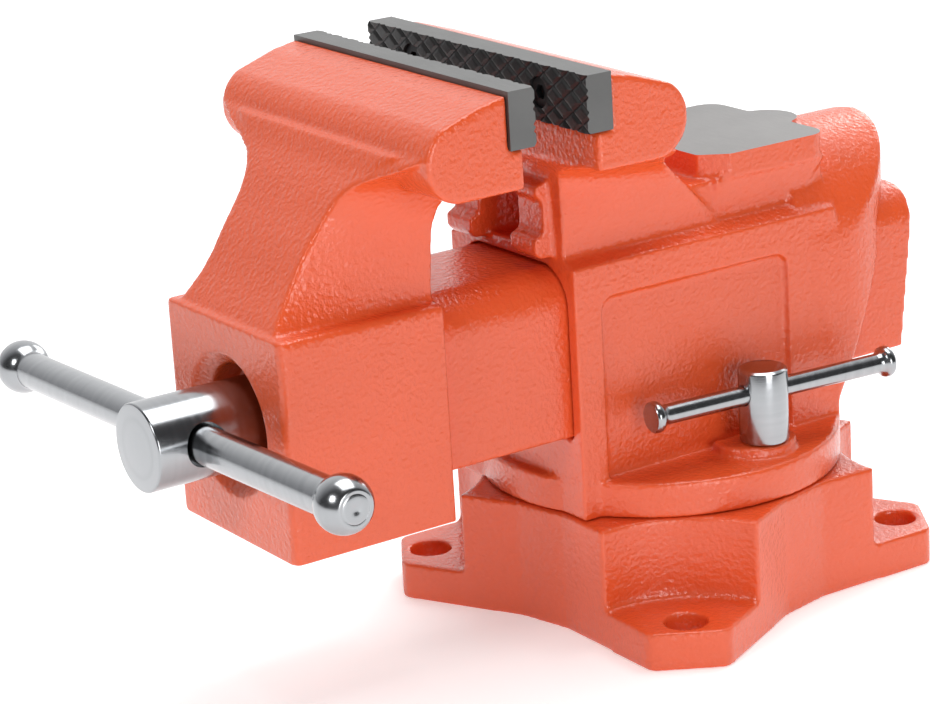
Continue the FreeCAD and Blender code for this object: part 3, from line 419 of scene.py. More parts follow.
def grinding_marks(name):
    """Short straight scratches left by grinding along local X: Height and Tone."""
    tree, given, result = shader_group(
        name,
        [("Position", "NodeSocketVector", None), ("Fineness", "NodeSocketFloat", 1.0)],
        [("Height", "NodeSocketFloat"), ("Tone", "NodeSocketFloat")])
    link = tree.links.new
    stretch = add(tree, "ShaderNodeMapping")
    stretch.inputs["Scale"].default_value = (90.0, 2600.0, 2600.0)
    link(given.outputs["Position"], stretch.inputs["Vector"])
    scratch = add(tree, "ShaderNodeTexNoise", Detail=3.0, Roughness=0.65)
    link(stretch.outputs[0], scratch.inputs["Vector"])
    link(given.outputs["Fineness"], scratch.inputs["Scale"])
    cloud = add(tree, "ShaderNodeTexNoise", Scale=45.0, Detail=3.0)
    link(given.outputs["Position"], cloud.inputs["Vector"])
    link(scratch.outputs["Fac"], result.inputs["Height"])
    link(cloud.outputs["Fac"], result.inputs["Tone"])
    return tree


def place(tree, axis="Z", centre=(0, 0, 0)):
    """Object coordinates centred on a piece and turned so that its axis is local Z."""
    where = add(tree, "ShaderNodeTexCoord")
    turn = add(tree, "ShaderNodeMapping")
    turn.vector_type = "TEXTURE"
    turn.inputs["Location"].default_value = centre
    angles = {"X": (0, math.pi / 2, 0), "Y": (-math.pi / 2, 0, 0), "Z": (0, 0, 0)}
    turn.inputs["Rotation"].default_value = angles[axis]
    tree.links.new(where.outputs["Object"], turn.inputs["Vector"])
    return turn.outputs[0]


def ranged(tree, value, low, high):
    """A value between 0 and 1 spread over another range."""
    spread = add(tree, "ShaderNodeMapRange")
    spread.inputs["To Min"].default_value = low
    spread.inputs["To Max"].default_value = high
    tree.links.new(value, spread.inputs["Value"])
    return spread.outputs["Result"]


def blended(tree, factor, first, second):
    """Two colours mixed by a factor."""
    mix = add(tree, "ShaderNodeMix", data_type="RGBA")
    mix.inputs[6].default_value = (*first, 1)
    mix.inputs[7].default_value = (*second, 1)
    tree.links.new(factor, mix.inputs[0])
    return mix.outputs[2]


def bumped(tree, height, distance):
    bump = add(tree, "ShaderNodeBump", Strength=1.0, Distance=distance)
    tree.links.new(height, bump.inputs["Height"])
    return bump.outputs["Normal"]


def new_material(name, **sockets):
    """A material with only a Principled shader, as (material, tree, shader)."""
    material = bpy.data.materials.new(name)
    material.use_nodes = True
    tree = material.node_tree
    shader = tree.nodes["Principled BSDF"]
    preset(shader, sockets)
    return material, tree, shader


def use_group(tree, name, builder, position, **values):
    group = tree.nodes.new("ShaderNodeGroup")
    group.node_tree = bpy.data.node_groups.get(name) or builder(name)
    tree.links.new(position, group.inputs["Position"])
    preset(group, values)
    return group


def finish(tree, shader, colour, roughness, normal):
    """Link what a material varies to its shader."""
    tree.links.new(colour, shader.inputs["Base Color"])
    tree.links.new(roughness, shader.inputs["Roughness"])
    if normal:
        tree.links.new(normal, shader.inputs["Normal"])


def shade(colour, factor):
    return tuple(min(1.0, part * factor) for part in colour)


# ---------------------------------------------------------------- materials

def glossy_orange_enamel():
    """Thick glossy enamel over a sand casting."""
    settings = bpy.context.scene.vise_casting
    material, tree, shader = new_material("glossy_orange_enamel", Specular_IOR_Level=0.7)
    surface = use_group(tree, "sand_cast_surface", sand_cast, place(tree),
                        Pebble_Size=settings.pebble)
    colour = tuple(settings.enamel)
    finish(tree, shader,
           blended(tree, surface.outputs["Mottle"], shade(colour, 0.93), shade(colour, 1.07)),
           ranged(tree, surface.outputs["Gloss Break"], 0.12, 0.24),
           bumped(tree, surface.outputs["Height"], 0.4 * MM))
    return material


def ground_iron():
    """The anvil's face, ground flat through the enamel."""
    return ground_metal("ground_iron", (0.22, 0.215, 0.21), (0.28, 0.27, 0.265), 0.42)


def ground_steel():
    """Ground sides and top of the jaw plates."""
    return ground_metal("ground_steel", (0.12, 0.12, 0.118), (0.17, 0.17, 0.167), 0.4)


def ground_metal(name, dark, light, roughness):
    """A metal ground flat, with short scratches."""
    material, tree, shader = new_material(name, Metallic=0.75)
    marks = use_group(tree, "grinding_marks", grinding_marks, place(tree))
    height = marks.outputs["Height"]
    finish(tree, shader, blended(tree, marks.outputs["Tone"], dark, light),
           ranged(tree, height, roughness - 0.08, roughness + 0.1),
           bumped(tree, height, 0.02 * MM))
    return material


def rough_metal(name, metallic, pebble, dark, light, roughness, bump):
    """A metal with the grain of a sand casting."""
    material, tree, shader = new_material(name, Metallic=metallic)
    surface = use_group(tree, "sand_cast_surface", sand_cast, place(tree), Pebble_Size=pebble)
    height = surface.outputs["Height"]
    finish(tree, shader, blended(tree, surface.outputs["Mottle"], dark, light),
           ranged(tree, height, *roughness), bumped(tree, height, bump) if bump else None)
    return material


def hardened_face():
    """The dark, heat-treated gripping face of a jaw plate."""
    return rough_metal("hardened_face", 0.65, 1.1 * MM, (0.03, 0.029, 0.029),
                       (0.07, 0.067, 0.067), (0.2, 0.42), 0.08 * MM)


def black_oxide():
    """Chemically blackened screws."""
    return rough_metal("black_oxide", 0.8, 0.8 * MM, (0.018, 0.018, 0.02),
                       (0.04, 0.04, 0.042), (0.32, 0.48), 0)


def raw_cast_iron():
    """Unpainted cast iron with a trace of rust in its grain."""
    return rough_metal("raw_cast_iron", 0.55, 1.4 * MM, (0.16, 0.15, 0.145),
                       (0.24, 0.20, 0.17), (0.45, 0.65), 0.1 * MM)


def turned_metal(name, axis, centre, coat, rings, dark, light, roughness, bump):
    """A metal with the fine rings of the lathe about one axis."""
    material, tree, shader = new_material(name, Metallic=1.0, Coat_Weight=coat)
    marks = use_group(tree, "lathe_marks", lathe_marks, place(tree, axis, centre), Rings=rings)
    tone = marks.outputs["Tone"]
    finish(tree, shader, blended(tree, tone, dark, light), ranged(tree, tone, *roughness),
           bumped(tree, marks.outputs["Height"], bump))
    return material


def polished_steel(name, axis, centre, rings):
    """Bright plated steel."""
    return turned_metal(name, axis, centre, 0.0, rings, (0.34, 0.35, 0.362),
                        (0.42, 0.43, 0.443), (0.13, 0.24), 0.006 * MM)


def plain_steel(name, axis, centre):
    """Turned steel with a film of grease."""
    return turned_metal(name, axis, centre, 0.2, 1800.0, (0.30, 0.30, 0.30),
                        (0.42, 0.42, 0.42), (0.28, 0.42), 0.01 * MM)


# ---------------------------------------------------------------- operators

class CastSkin:
    """Shared by the castings: rebuilds a node as one soft-edged cast skin."""

    def skin(self, name, node):
        settings = bpy.context.scene.vise_casting
        thing = copy_of_node(name, node)
        self.before_casting(thing)
        remesh = thing.modifiers.new("mould", "REMESH")
        remesh.mode = "VOXEL"
        remesh.voxel_size = settings.grid
        relax = thing.modifiers.new("relax", "SMOOTH")
        relax.factor = 0.5
        relax.iterations = settings.softening
        settle(thing)
        count = sum(len(face.vertices) - 2 for face in thing.data.polygons)
        if count > settings.most_faces:
            thin = thing.modifiers.new("thin", "DECIMATE")
            thin.ratio = settings.most_faces / count
            settle(thing)
        return thing

    def before_casting(self, thing):
        """Change the pattern before it is cast; most pieces need nothing."""


class VISE_OT_base_casting(bpy.types.Operator, CastSkin):
    """Cast the swivel base with its four bench lugs"""
    bl_idname = "vise.base_casting"
    bl_label = "Base Casting"

    def execute(self, context):
        thing = smooth(self.skin("base_casting", "swivel_base"), CAST_SHARP)
        finish_piece(thing, "base", [shared_material(glossy_orange_enamel)],
                     ["swivel_base"])
        return {"FINISHED"}


class VISE_OT_body_casting(bpy.types.Operator, CastSkin):
    """Cast the turntable body and grind its anvil flat"""
    bl_idname = "vise.body_casting"
    bl_label = "Body Casting"

    def before_casting(self, thing):
        """Leave grinding stock on the anvil's face."""
        top = anvil_height()
        for vertex in thing.data.vertices:
            if abs(vertex.co.z - top) < 1e-5:
                vertex.co.z += bpy.context.scene.vise_casting.grinding

    def execute(self, context):
        thing = self.skin("body_casting", "fixed_jaw_body")
        low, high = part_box("fixed_jaw_body")
        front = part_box("fixed_jaw_plate")[1].y + BEHIND_PLATE
        thing.data.materials.append(shared_material(glossy_orange_enamel))
        wheel = block("grinding_wheel", (low.x, front, anvil_height()),
                      (high.x, high.y + 10 * MM, high.z), ground_iron())
        smooth(carve(thing, [wheel]), CAST_SHARP)
        finish_piece(thing, "turntable", [], ["fixed_jaw_body"])
        return {"FINISHED"}


class VISE_OT_jaw_casting(bpy.types.Operator, CastSkin):
    """Cast the moving jaw with its slide"""
    bl_idname = "vise.jaw_casting"
    bl_label = "Moving Jaw Casting"

    def before_casting(self, thing):
        """Fill the hollow where the neck's front runs up into the head's nose."""
        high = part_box("moving_jaw")[1]
        half, nose = high.x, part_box("moving_jaw_plate")[0].y - NOSE_SET_BACK
        build = bmesh.new()
        build.from_mesh(thing.data)
        fresh = []
        for across, back, down in ((0.50, -4.9, 31.7), (0.62, -1.8, 26.0), (0.76, 0.5, 20.5),
                                   (0.50, 8.0, 28.0), (0.76, 12.0, 21.0)):
            for side in (-1, 1):
                spot = (side * across * half, nose + back * MM, high.z - down * MM)
                fresh.append(build.verts.new(spot))
        bmesh.ops.convex_hull(build, input=fresh)
        build.to_mesh(thing.data)
        build.free()

    def execute(self, context):
        thing = smooth(self.skin("jaw_casting", "moving_jaw"), CAST_SHARP)
        finish_piece(thing, "moving_jaw",
                     [shared_material(glossy_orange_enamel)], ["moving_jaw"])
        return {"FINISHED"}


def anvil_height():
    """The anvil's face is the highest level of the body behind the fixed jaw."""
    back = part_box("fixed_jaw_plate")[1].y + ANVIL_BACK
    return max(v.co.z for v in frame["nodes"]["fixed_jaw_body"].data.vertices if v.co.y > back)


def jaw_plate(name, node, toward):
    """A jaw plate with crossed grooves; toward is 1 where it grips towards +Y."""
    settings = bpy.context.scene.vise_plate
    low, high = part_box(node)
    columns = int((high.x - low.x) / PLATE_GRID)
    rows = int((high.z - low.z) / PLATE_GRID)
    grip, seat = (high.y, low.y) if toward > 0 else (low.y, high.y)
    build = bmesh.new()
    grid = []
    for row in range(rows + 1):
        line = []
        for column in range(columns + 1):
            x = low.x + (high.x - low.x) * column / columns
            z = low.z + (high.z - low.z) * row / rows
            sink = groove(settings, x, z - (low.z + high.z) / 2)
            line.append(build.verts.new((x, grip - toward * sink, z)))
        grid.append(line)
    for row in range(rows):
        for column in range(columns):
            build.faces.new((grid[row][column], grid[row][column + 1],
                             grid[row + 1][column + 1], grid[row + 1][column]))
    rim = (grid[0] + [line[-1] for line in grid[1:]] + grid[-1][-2::-1]
           + [line[0] for line in grid[-2:0:-1]])
    behind = [build.verts.new((vertex.co.x, seat, vertex.co.z)) for vertex in rim]
    for index in range(len(rim)):
        after = (index + 1) % len(rim)
        side = build.faces.new((rim[index], behind[index], behind[after], rim[after]))
        side.material_index = 1
    build.faces.new(behind).material_index = 1
    bmesh.ops.recalc_face_normals(build, faces=build.faces)
    thing = built(name, build)
    for material in (hardened_face, ground_steel):
        thing.data.materials.append(shared_material(material))
    return thing


def shared_material(builder):
    """A material made once, under its builder's own name."""
    return bpy.data.materials.get(builder.__name__) or builder()


def groove(settings, x, z):
    """Depth of the crossed grooves at a place on the gripping face."""
    along, up = x / settings.cell_long, z / settings.cell_tall
    apart = 1 / math.hypot(1 / settings.cell_long, 1 / settings.cell_tall)
    half = settings.groove_wide / 2
    depth = 0.0
    for phase in (along + up, along - up):
        distance = abs(phase - round(phase)) * apart
        depth = max(depth, settings.groove_deep * (1 - distance / half))
    return max(depth, 0.0)


class VISE_OT_jaw_plates(bpy.types.Operator):
    """Cut the two serrated jaw plates"""
    bl_idname = "vise.jaw_plates"
    bl_label = "Jaw Plates"

    def execute(self, context):
        for name, node, screws, body, toward in (
                ("serrated_plate_fixed", "fixed_jaw_plate", "fixed_plate_screws", "turntable", -1),
                ("serrated_plate_moving", "moving_jaw_plate", "moving_plate_screws",
                 "moving_jaw", 1)):
            thing = jaw_plate(name, node, toward)
            low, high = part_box(node)
            screw_low, screw_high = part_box(screws)
            head = (screw_high.z - screw_low.z) / 2 + COUNTERBORE_GAP
            middle_z = (low.z + high.z) / 2
            grip, seat = (high.y, low.y) if toward > 0 else (low.y, high.y)
            through = abs(grip - seat) + 2 * MM
            stations = [(0, 0), (0, head), (COUNTERBORE_DEEP, head),
                        (COUNTERBORE_DEEP, SHANK_HOLE), (through, SHANK_HOLE), (through, 0)]
            cutters = []
            for x in (screw_low.x + head - COUNTERBORE_GAP, screw_high.x - head + COUNTERBORE_GAP):
                start = (x, grip + toward * MM, middle_z)
                cutter = turned("counterbore", stations, start, (0, -toward, 0), 48)
                cutter.data.materials.append(shared_material(hardened_face))
                cutters.append(cutter)
            carve(thing, cutters)
            smooth(thing, 30)
            finish_piece(thing, body, [], [node])
        return {"FINISHED"}


def raised(tree, geometry, length, share):
    """Geometry moved along Z by a share of a length."""
    move = add(tree, "GeometryNodeTransform")
    up = add(tree, "ShaderNodeCombineXYZ")
    tree.links.new(maths(tree, "MULTIPLY", length, share), up.inputs["Z"])
    tree.links.new(up.outputs[0], move.inputs["Translation"])
    tree.links.new(geometry, move.inputs["Geometry"])
    return move.outputs[0]


def socket_screw_tree(sizes, material):
    """Geometry nodes: socket screws in a row along X, lying along Y."""
    tree = bpy.data.node_groups.new("socket_screw_row", "GeometryNodeTree")
    tree.interface.new_socket("Geometry", in_out="OUTPUT", socket_type="NodeSocketGeometry")
    for title, value in sizes.items():
        socket = tree.interface.new_socket(title, in_out="INPUT", socket_type="NodeSocketFloat")
        socket.default_value = value
    given, result = tree.nodes.new("NodeGroupInput"), tree.nodes.new("NodeGroupOutput")
    link = tree.links.new
    head = add(tree, "GeometryNodeMeshCylinder", Vertices=48)
    link(given.outputs["Head Radius"], head.inputs["Radius"])
    link(given.outputs["Head Height"], head.inputs["Depth"])
    shank = add(tree, "GeometryNodeMeshCylinder", Vertices=32)
    link(given.outputs["Shank Radius"], shank.inputs["Radius"])
    link(given.outputs["Length"], shank.inputs["Depth"])
    key = add(tree, "GeometryNodeMeshCylinder", Vertices=6)
    link(maths(tree, "MULTIPLY", given.outputs["Head Radius"], 0.52), key.inputs["Radius"])
    link(given.outputs["Head Height"], key.inputs["Depth"])
    lift = raised(tree, key.outputs["Mesh"], given.outputs["Head Height"], 0.45)
    sink = raised(tree, shank.outputs["Mesh"], given.outputs["Length"], -0.5)
    socket = add(tree, "GeometryNodeMeshBoolean", operation="DIFFERENCE")
    link(head.outputs["Mesh"], socket.inputs["Mesh 1"])
    link(lift, socket.inputs["Mesh 2"])
    screw = add(tree, "GeometryNodeJoinGeometry")
    link(socket.outputs["Mesh"], screw.inputs[0])
    link(sink, screw.inputs[0])
    row = add(tree, "GeometryNodeMeshLine", Count=2)
    gap = add(tree, "ShaderNodeCombineXYZ")
    link(given.outputs["Spacing"], gap.inputs["X"])
    link(gap.outputs[0], row.inputs["Offset"])
    copies = add(tree, "GeometryNodeInstanceOnPoints")
    link(row.outputs[0], copies.inputs["Points"])
    link(screw.outputs[0], copies.inputs["Instance"])
    copies.inputs["Rotation"].default_value = (math.pi / 2, 0, 0)
    real = add(tree, "GeometryNodeRealizeInstances")
    link(copies.outputs[0], real.inputs[0])
    coat = add(tree, "GeometryNodeSetMaterial")
    coat.inputs["Material"].default_value = material
    link(real.outputs[0], coat.inputs["Geometry"])
    link(coat.outputs[0], result.inputs[0])
    return tree


def grow(name, tree, values):
    """Run a geometry node tree on its own and keep the result as a plain mesh."""
    thing = new_object(name, bpy.data.meshes.new(name))
    growth = thing.modifiers.new("growth", "NODES")
    growth.node_group = tree
    for item in tree.interface.items_tree:
        if item.in_out == "INPUT" and item.name in values:
            growth[item.identifier] = values[item.name]
    return settle(thing)


class VISE_OT_plate_screws(bpy.types.Operator):
    """Fit the socket screws that hold the jaw plates"""
    bl_idname = "vise.plate_screws"
    bl_label = "Plate Screws"

    def execute(self, context):
        black = shared_material(black_oxide)
        for name, node, body, toward in (
                ("socket_screws_fixed", "fixed_plate_screws", "turntable", -1),
                ("socket_screws_moving", "moving_plate_screws", "moving_jaw", 1)):
            low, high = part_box(node)
            head = (high.z - low.z) / 2
            sizes = {"Head Radius": head - 0.01 * MM, "Head Height": HEAD_TALL,
                     "Shank Radius": SHANK, "Length": high.y - low.y - SHANK_END_GAP,
                     "Spacing": high.x - low.x - 2 * head}
            tree = socket_screw_tree(sizes, black)
            thing = grow(name, tree, sizes)
            face = low.y if toward < 0 else high.y
            turn = Matrix.Rotation(math.pi if toward > 0 else 0, 4, "Z")
            start = low.x + head if toward < 0 else high.x - head
            middle_z = (low.z + high.z) / 2
            spot = Matrix.Translation((start, face - toward * HEAD_SUNK, middle_z))
            thing.data.transform(spot @ turn)
            smooth(thing, 30)
            finish_piece(thing, body, [black], [node])
        return {"FINISHED"}


def threaded_rod(name, start, end, axis_z, radius, settings):
    """The trapezoidal thread of the main screw, cut along Y."""
    around, step = 48, settings.lead / 12
    count = int((end - start) / step)
    build = bmesh.new()
    rows = []
    for index in range(count + 1):
        y = start + (end - start) * index / count
        fade = min(1.0, (y - start) / settings.lead, (end - y) / (settings.lead * 0.5))
        row = []
        for spoke in range(around):
            turn = spoke / around
            phase = (y / settings.lead - turn) % 1.0
            flank = min(abs(phase - 0.5) * 2, 1.0)
            depth = min(max((flank - 0.32) / 0.36, 0.0), 1.0)
            out = radius - settings.thread_deep * depth * fade
            angle = 2 * math.pi * turn
            row.append(build.verts.new((out * math.cos(angle), y, axis_z + out * math.sin(angle))))
        rows.append(row)
    for near, far in zip(rows, rows[1:]):
        skin_between(build, near, far)
    build.faces.new(rows[0])
    build.faces.new(rows[-1])
    bmesh.ops.recalc_face_normals(build, faces=build.faces)
    return built(name, build)


class VISE_OT_main_screw(bpy.types.Operator):
    """Turn the main screw: its cross-drilled head, neck and thread"""
    bl_idname = "vise.main_screw"
    bl_label = "Main Screw"

    def execute(self, context):
        settings = context.scene.vise_screw
        low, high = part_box("lead_screw")
        centre = (low + high) / 2
        out = (high.x - low.x) / 2
        start = Vector((centre.x, low.y, centre.z))
        shoulder = low.y + wide_part("lead_screw", start, (0, 1, 0), 0.9 * out)[1]
        rod = end_radius("lead_screw", start, (0, 1, 0))
        thread_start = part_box("screw_collar")[1].y + NECK_OVERLAP
        steel = polished_steel("bright_main_screw", "Y", centre, 2200.0)
        edge = 1.0 * MM
        stations = [(0, 0), *arc((edge, out - edge), edge, 180, 90, 5),
                    (shoulder - low.y - edge, out), (shoulder - low.y - 0.3 * MM, out - edge),
                    (shoulder - low.y - 0.3 * MM, rod + MM), (shoulder - low.y, rod),
                    (thread_start - low.y, rod), (thread_start - low.y, 0)]
        head = turned("main_screw_head", stations, (0, low.y, centre.z), (0, 1, 0), 128)
        bar_axis = Vector(joint("handle_slide")["axis"])
        bar_low, bar_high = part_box("handle_bar")
        middle = Vector((0, (bar_low.y + bar_high.y) / 2, centre.z))
        bar = (bar_high.y - bar_low.y) / 2 + BAR_CLEARANCE
        reach = 2 * out
        hole = turned("cross_hole", [(0, 0), (0, bar), (2 * reach, bar), (2 * reach, 0)],
                      middle - bar_axis * reach, bar_axis, 64)
        hole.data.materials.append(steel)
        head.data.materials.append(steel)
        carve(head, [hole])
        smooth(head, SHARP)
        finish_piece(head, "screw", [steel], ["lead_screw"])
        thread = threaded_rod("main_screw_thread", thread_start, high.y, centre.z,
                              rod - 0.02 * MM, settings)
        smooth(thread, 28)
        finish_piece(thread, "screw",
                     [plain_steel("greased_thread", "Y", centre)])
        return {"FINISHED"}


class VISE_OT_handle(bpy.types.Operator):
    """Turn the sliding handle bar and its two ball ends"""
    bl_idname = "vise.handle"
    bl_label = "Handle"

    def execute(self, context):
        axis = Vector(joint("handle_slide")["axis"])
        bar_low, bar_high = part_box("handle_bar")
        middle = (bar_low + bar_high) / 2
        radius = (bar_high.y - bar_low.y) / 2
        half = (bar_high.x - bar_low.x) / 2 / axis.x - radius * axis.z
        steel = polished_steel("bright_handle", "X", middle, 2200.0)
        edge = 0.4 * MM
        stations = [(-half, 0), (-half, radius - edge), (-half + edge, radius),
                    (half - edge, radius), (half, radius - edge), (half, 0)]
        bar = turned("handle_rod", stations, middle, axis, 96)
        smooth(bar, SHARP)
        finish_piece(bar, "handle", [steel], ["handle_bar"])
        for side, sign in SIDES:
            node = f"handle_ball_{side}"
            low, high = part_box(node)
            ball = (high.z - low.z) / 2
            centre = middle + axis * sign * half
            face = end_radius(node, centre, axis * sign)
            reach = math.sqrt(ball * ball - face * face) - 0.1 * MM
            neck = math.degrees(math.asin((radius + 0.6 * MM) / ball))
            outer = math.degrees(math.asin(face / ball))
            stations = [(-math.sqrt(ball ** 2 - radius ** 2) - 0.9 * MM, radius + 0.02 * MM)]
            stations += arc((0, 0), ball, 180 - neck, outer + 2.5, 22)
            stations += [(reach, face - 0.4 * MM), (reach - 0.25 * MM, face - 1.4 * MM),
                         (reach - 0.05 * MM, face - 1.8 * MM), (reach, 2.2 * MM),
                         (reach - 0.35 * MM, 1.4 * MM), (reach - 0.35 * MM, 0.0)]
            stations.insert(0, (stations[0][0], 0.0))
            thing = turned(f"handle_knob_{side}", stations, centre, axis * sign, 96)
            smooth(thing, SHARP)
            finish_piece(thing, "handle",
                         [polished_steel(f"bright_knob_{side}", "X", centre, 2600.0)], [node])
        return {"FINISHED"}


class VISE_OT_clamp_screws(bpy.types.Operator):
    """Turn the turntable's clamp screws, their sliding bars and caps"""
    bl_idname = "vise.clamp_screws"
    bl_label = "Clamp Screws"

    def execute(self, context):
        for side, sign in SIDES:
            low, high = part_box(f"lock_screw_{side}")
            centre = (low + high) / 2
            out = (high.x - low.x) / 2
            seat = low.z + wide_part(f"lock_screw_{side}", (centre.x, centre.y, low.z),
                                     (0, 0, 1), 0.9 * out)[0]
            axis = Vector(joint(f"clamp_bar_slide_{side}")["axis"])
            pivot = Vector(joint(f"clamp_turn_{side}")["pos_m"])
            bar_low, bar_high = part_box(f"lock_bar_{side}")
            bar = (bar_high.z - bar_low.z) / 2
            steel = polished_steel(f"bright_clamp_{side}", "Z", centre, 2600.0)
            tall = high.z - low.z
            foot = seat - low.z
            stations = [(0, 0), (0, 5.2 * MM), (0.8 * MM, CLAMP_FOOT), (foot, CLAMP_FOOT),
                        (foot, out - 1.2 * MM), (foot + 0.7 * MM, out - 0.2 * MM),
                        (foot + 1.6 * MM, out), (tall - 1.7 * MM, out),
                        (tall - 1.0 * MM, out - 0.25 * MM),
                        (tall - 0.25 * MM, out - 1.2 * MM), (tall, out - 1.9 * MM), (tall, 0)]
            head = turned(f"clamp_screw_{side}", stations, (centre.x, centre.y, low.z),
                          (0, 0, 1), 96)
            bore = bar + CLAMP_CLEARANCE
            hole = turned("clamp_hole", [(0, 0), (0, bore), (3 * out, bore), (3 * out, 0)],
                          pivot - axis * 1.5 * out, axis, 48)
            head.data.materials.append(steel)
            hole.data.materials.append(steel)
            carve(head, [hole])
            smooth(head, SHARP)
            finish_piece(head, f"clamp_screw_{side}", [steel],
                         [f"lock_screw_{side}"])
            self.bar(side, axis, pivot, bar)
        return {"FINISHED"}

    def bar(self, side, axis, pivot, radius):
        """The sliding bar with its two upset ends."""
        low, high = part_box(f"lock_bar_caps_{side}")
        ends = [(low.y - pivot.y) / axis.y, (high.y - pivot.y) / axis.y]
        cap = (high.z - low.z) / 2
        steel = polished_steel(f"bright_bar_{side}", "Y", pivot, 2600.0)
        first, last = ends[0] + 0.6 * MM, ends[1] - 0.6 * MM
        stations = [(first + 2 * MM, 0), (first + 2 * MM, radius), (last - 2 * MM, radius),
                    (last - 2 * MM, 0)]
        rod = turned(f"clamp_rod_{side}", stations, pivot, axis, 64)
        smooth(rod, SHARP)
        finish_piece(rod, f"clamp_bar_{side}", [steel], [f"lock_bar_{side}"])
        caps = []
        for start, way in ((first, -1), (last, 1)):
            flare = [(-7.5, radius + 0.02 * MM), (-6.3, radius + 0.15 * MM),
                     (-5.2, radius + 0.7 * MM), (-4.3, cap - 0.9 * MM), (-3.6, cap - 0.25 * MM),
                     (-2.8, cap), (-1.4, cap), (-0.6, cap - 0.25 * MM), (-0.1, cap - 0.8 * MM),
                     (0.0, cap - 1.4 * MM), (0.0, 0.0)]
            stations = [(start * way + along * MM, out) for along, out in flare]
            stations.insert(0, (stations[0][0], 0.0))
            caps.append(turned("cap", stations, pivot, axis * way, 64))
        merged = join(f"clamp_caps_{side}", caps)
        smooth(merged, SHARP)
        finish_piece(merged, f"clamp_bar_{side}", [steel],
                     [f"lock_bar_caps_{side}"])


def join(name, things):
    """Several pieces as one mesh."""
    build = bmesh.new()
    for thing in things:
        build.from_mesh(thing.data)
        bpy.data.objects.remove(thing)
    return built(name, build)


def spring_tree(material):
    """Geometry nodes: a round-wire compression spring along Z."""
    tree = bpy.data.node_groups.new("take_up_spring_coil", "GeometryNodeTree")
    tree.interface.new_socket("Geometry", in_out="OUTPUT", socket_type="NodeSocketGeometry")
    for title, value in (("Turns", 4.5), ("Coil Radius", 0.016), ("Height", 0.014),
                         ("Wire Radius", 0.0015)):
        socket = tree.interface.new_socket(title, in_out="INPUT", socket_type="NodeSocketFloat")
        socket.default_value = value
    given, result = tree.nodes.new("NodeGroupInput"), tree.nodes.new("NodeGroupOutput")
    link = tree.links.new
    coil = add(tree, "GeometryNodeCurveSpiral", Resolution=48)
    link(given.outputs["Turns"], coil.inputs["Rotations"])
    link(given.outputs["Coil Radius"], coil.inputs["Start Radius"])
    link(given.outputs["Coil Radius"], coil.inputs["End Radius"])
    link(given.outputs["Height"], coil.inputs["Height"])
    wire = add(tree, "GeometryNodeCurvePrimitiveCircle", Resolution=16)
    link(given.outputs["Wire Radius"], wire.inputs["Radius"])
    skin = add(tree, "GeometryNodeCurveToMesh")
    skin.inputs["Fill Caps"].default_value = True
    link(coil.outputs[0], skin.inputs["Curve"])
    link(wire.outputs[0], skin.inputs["Profile Curve"])
    real = add(tree, "GeometryNodeRealizeInstances")
    link(skin.outputs[0], real.inputs[0])
    coat = add(tree, "GeometryNodeSetMaterial")
    coat.inputs["Material"].default_value = material
    link(real.outputs[0], coat.inputs["Geometry"])
    link(coat.outputs[0], result.inputs[0])
    return tree


class VISE_OT_inner_works(bpy.types.Operator):
    """Finish the spring, washer, collar, pins and nuts inside the vise"""
    bl_idname = "vise.inner_works"
    bl_label = "Inner Works"

    def execute(self, context):
        low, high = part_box("take_up_spring")
        centre = (low + high) / 2
        steel = plain_steel("spring_steel", "Y", centre)
        tree = spring_tree(steel)
        coil = grow("take_up_coil", tree, {
            "Turns": context.scene.vise_screw.spring_turns, "Wire Radius": SPRING_WIRE,
            "Coil Radius": (high.x - low.x) / 2 - SPRING_WIRE,
            "Height": high.y - low.y - 2 * SPRING_WIRE})
        coil.data.transform(Matrix.Translation((centre.x, high.y - SPRING_WIRE, centre.z))
                            @ Matrix.Rotation(math.pi / 2, 4, "X"))
        smooth(coil, 60)
        finish_piece(coil, "moving_jaw", [steel], ["take_up_spring"])
        self.ring("thrust_ring", "thrust_washer", "moving_jaw", WASHER_BORE)
        self.ring("screw_ring", "screw_collar", "screw", COLLAR_BORE)
        self.stud("collar_rivet", "collar_pin", "screw")
        self.stud("pivot_stud", "pivot_pin", "base")
        dress(("main_nut", "clamp_nut_right", "clamp_nut_left"),
              shared_material(raw_cast_iron))
        dress(("nut_bolt",), shared_material(black_oxide))
        return {"FINISHED"}

    def ring(self, name, node, body, bore):
        low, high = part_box(node)
        centre, long = (low + high) / 2, high.y - low.y
        edge = min(0.8 * MM, long / 4)
        self.chamfered(name, node, body, (centre.x, low.y, centre.z), "Y", long, edge, bore)

    def stud(self, name, node, body):
        low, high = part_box(node)
        centre = (low + high) / 2
        self.chamfered(name, node, body, (centre.x, centre.y, low.z), "Z", high.z - low.z,
                       1.0 * MM, 0)

    def chamfered(self, name, node, body, start, axis, long, edge, bore):
        """A ring about Y, or a solid stud about Z, with both rims chamfered."""
        low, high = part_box(node)
        out = (high.x - low.x) / 2
        stations = [(0, bore), (0, out - edge), (edge, out), (long - edge, out),
                    (long, out - edge), (long, bore)]
        way, segments = ((0, 1, 0), 96) if axis == "Y" else ((0, 0, 1), 64)
        thing = turned(name, stations, start, way, segments, ring=bore > 0)
        smooth(thing, SHARP)
        steel = plain_steel(f"{name}_steel", axis, (low + high) / 2)
        finish_piece(thing, body, [steel], [node])


def dress(nodes, material):
    """Give CAD nodes that keep their own shape a finished material."""
    for node in nodes:
        thing = frame["nodes"][node]
        for slot in thing.material_slots:
            slot.material = material


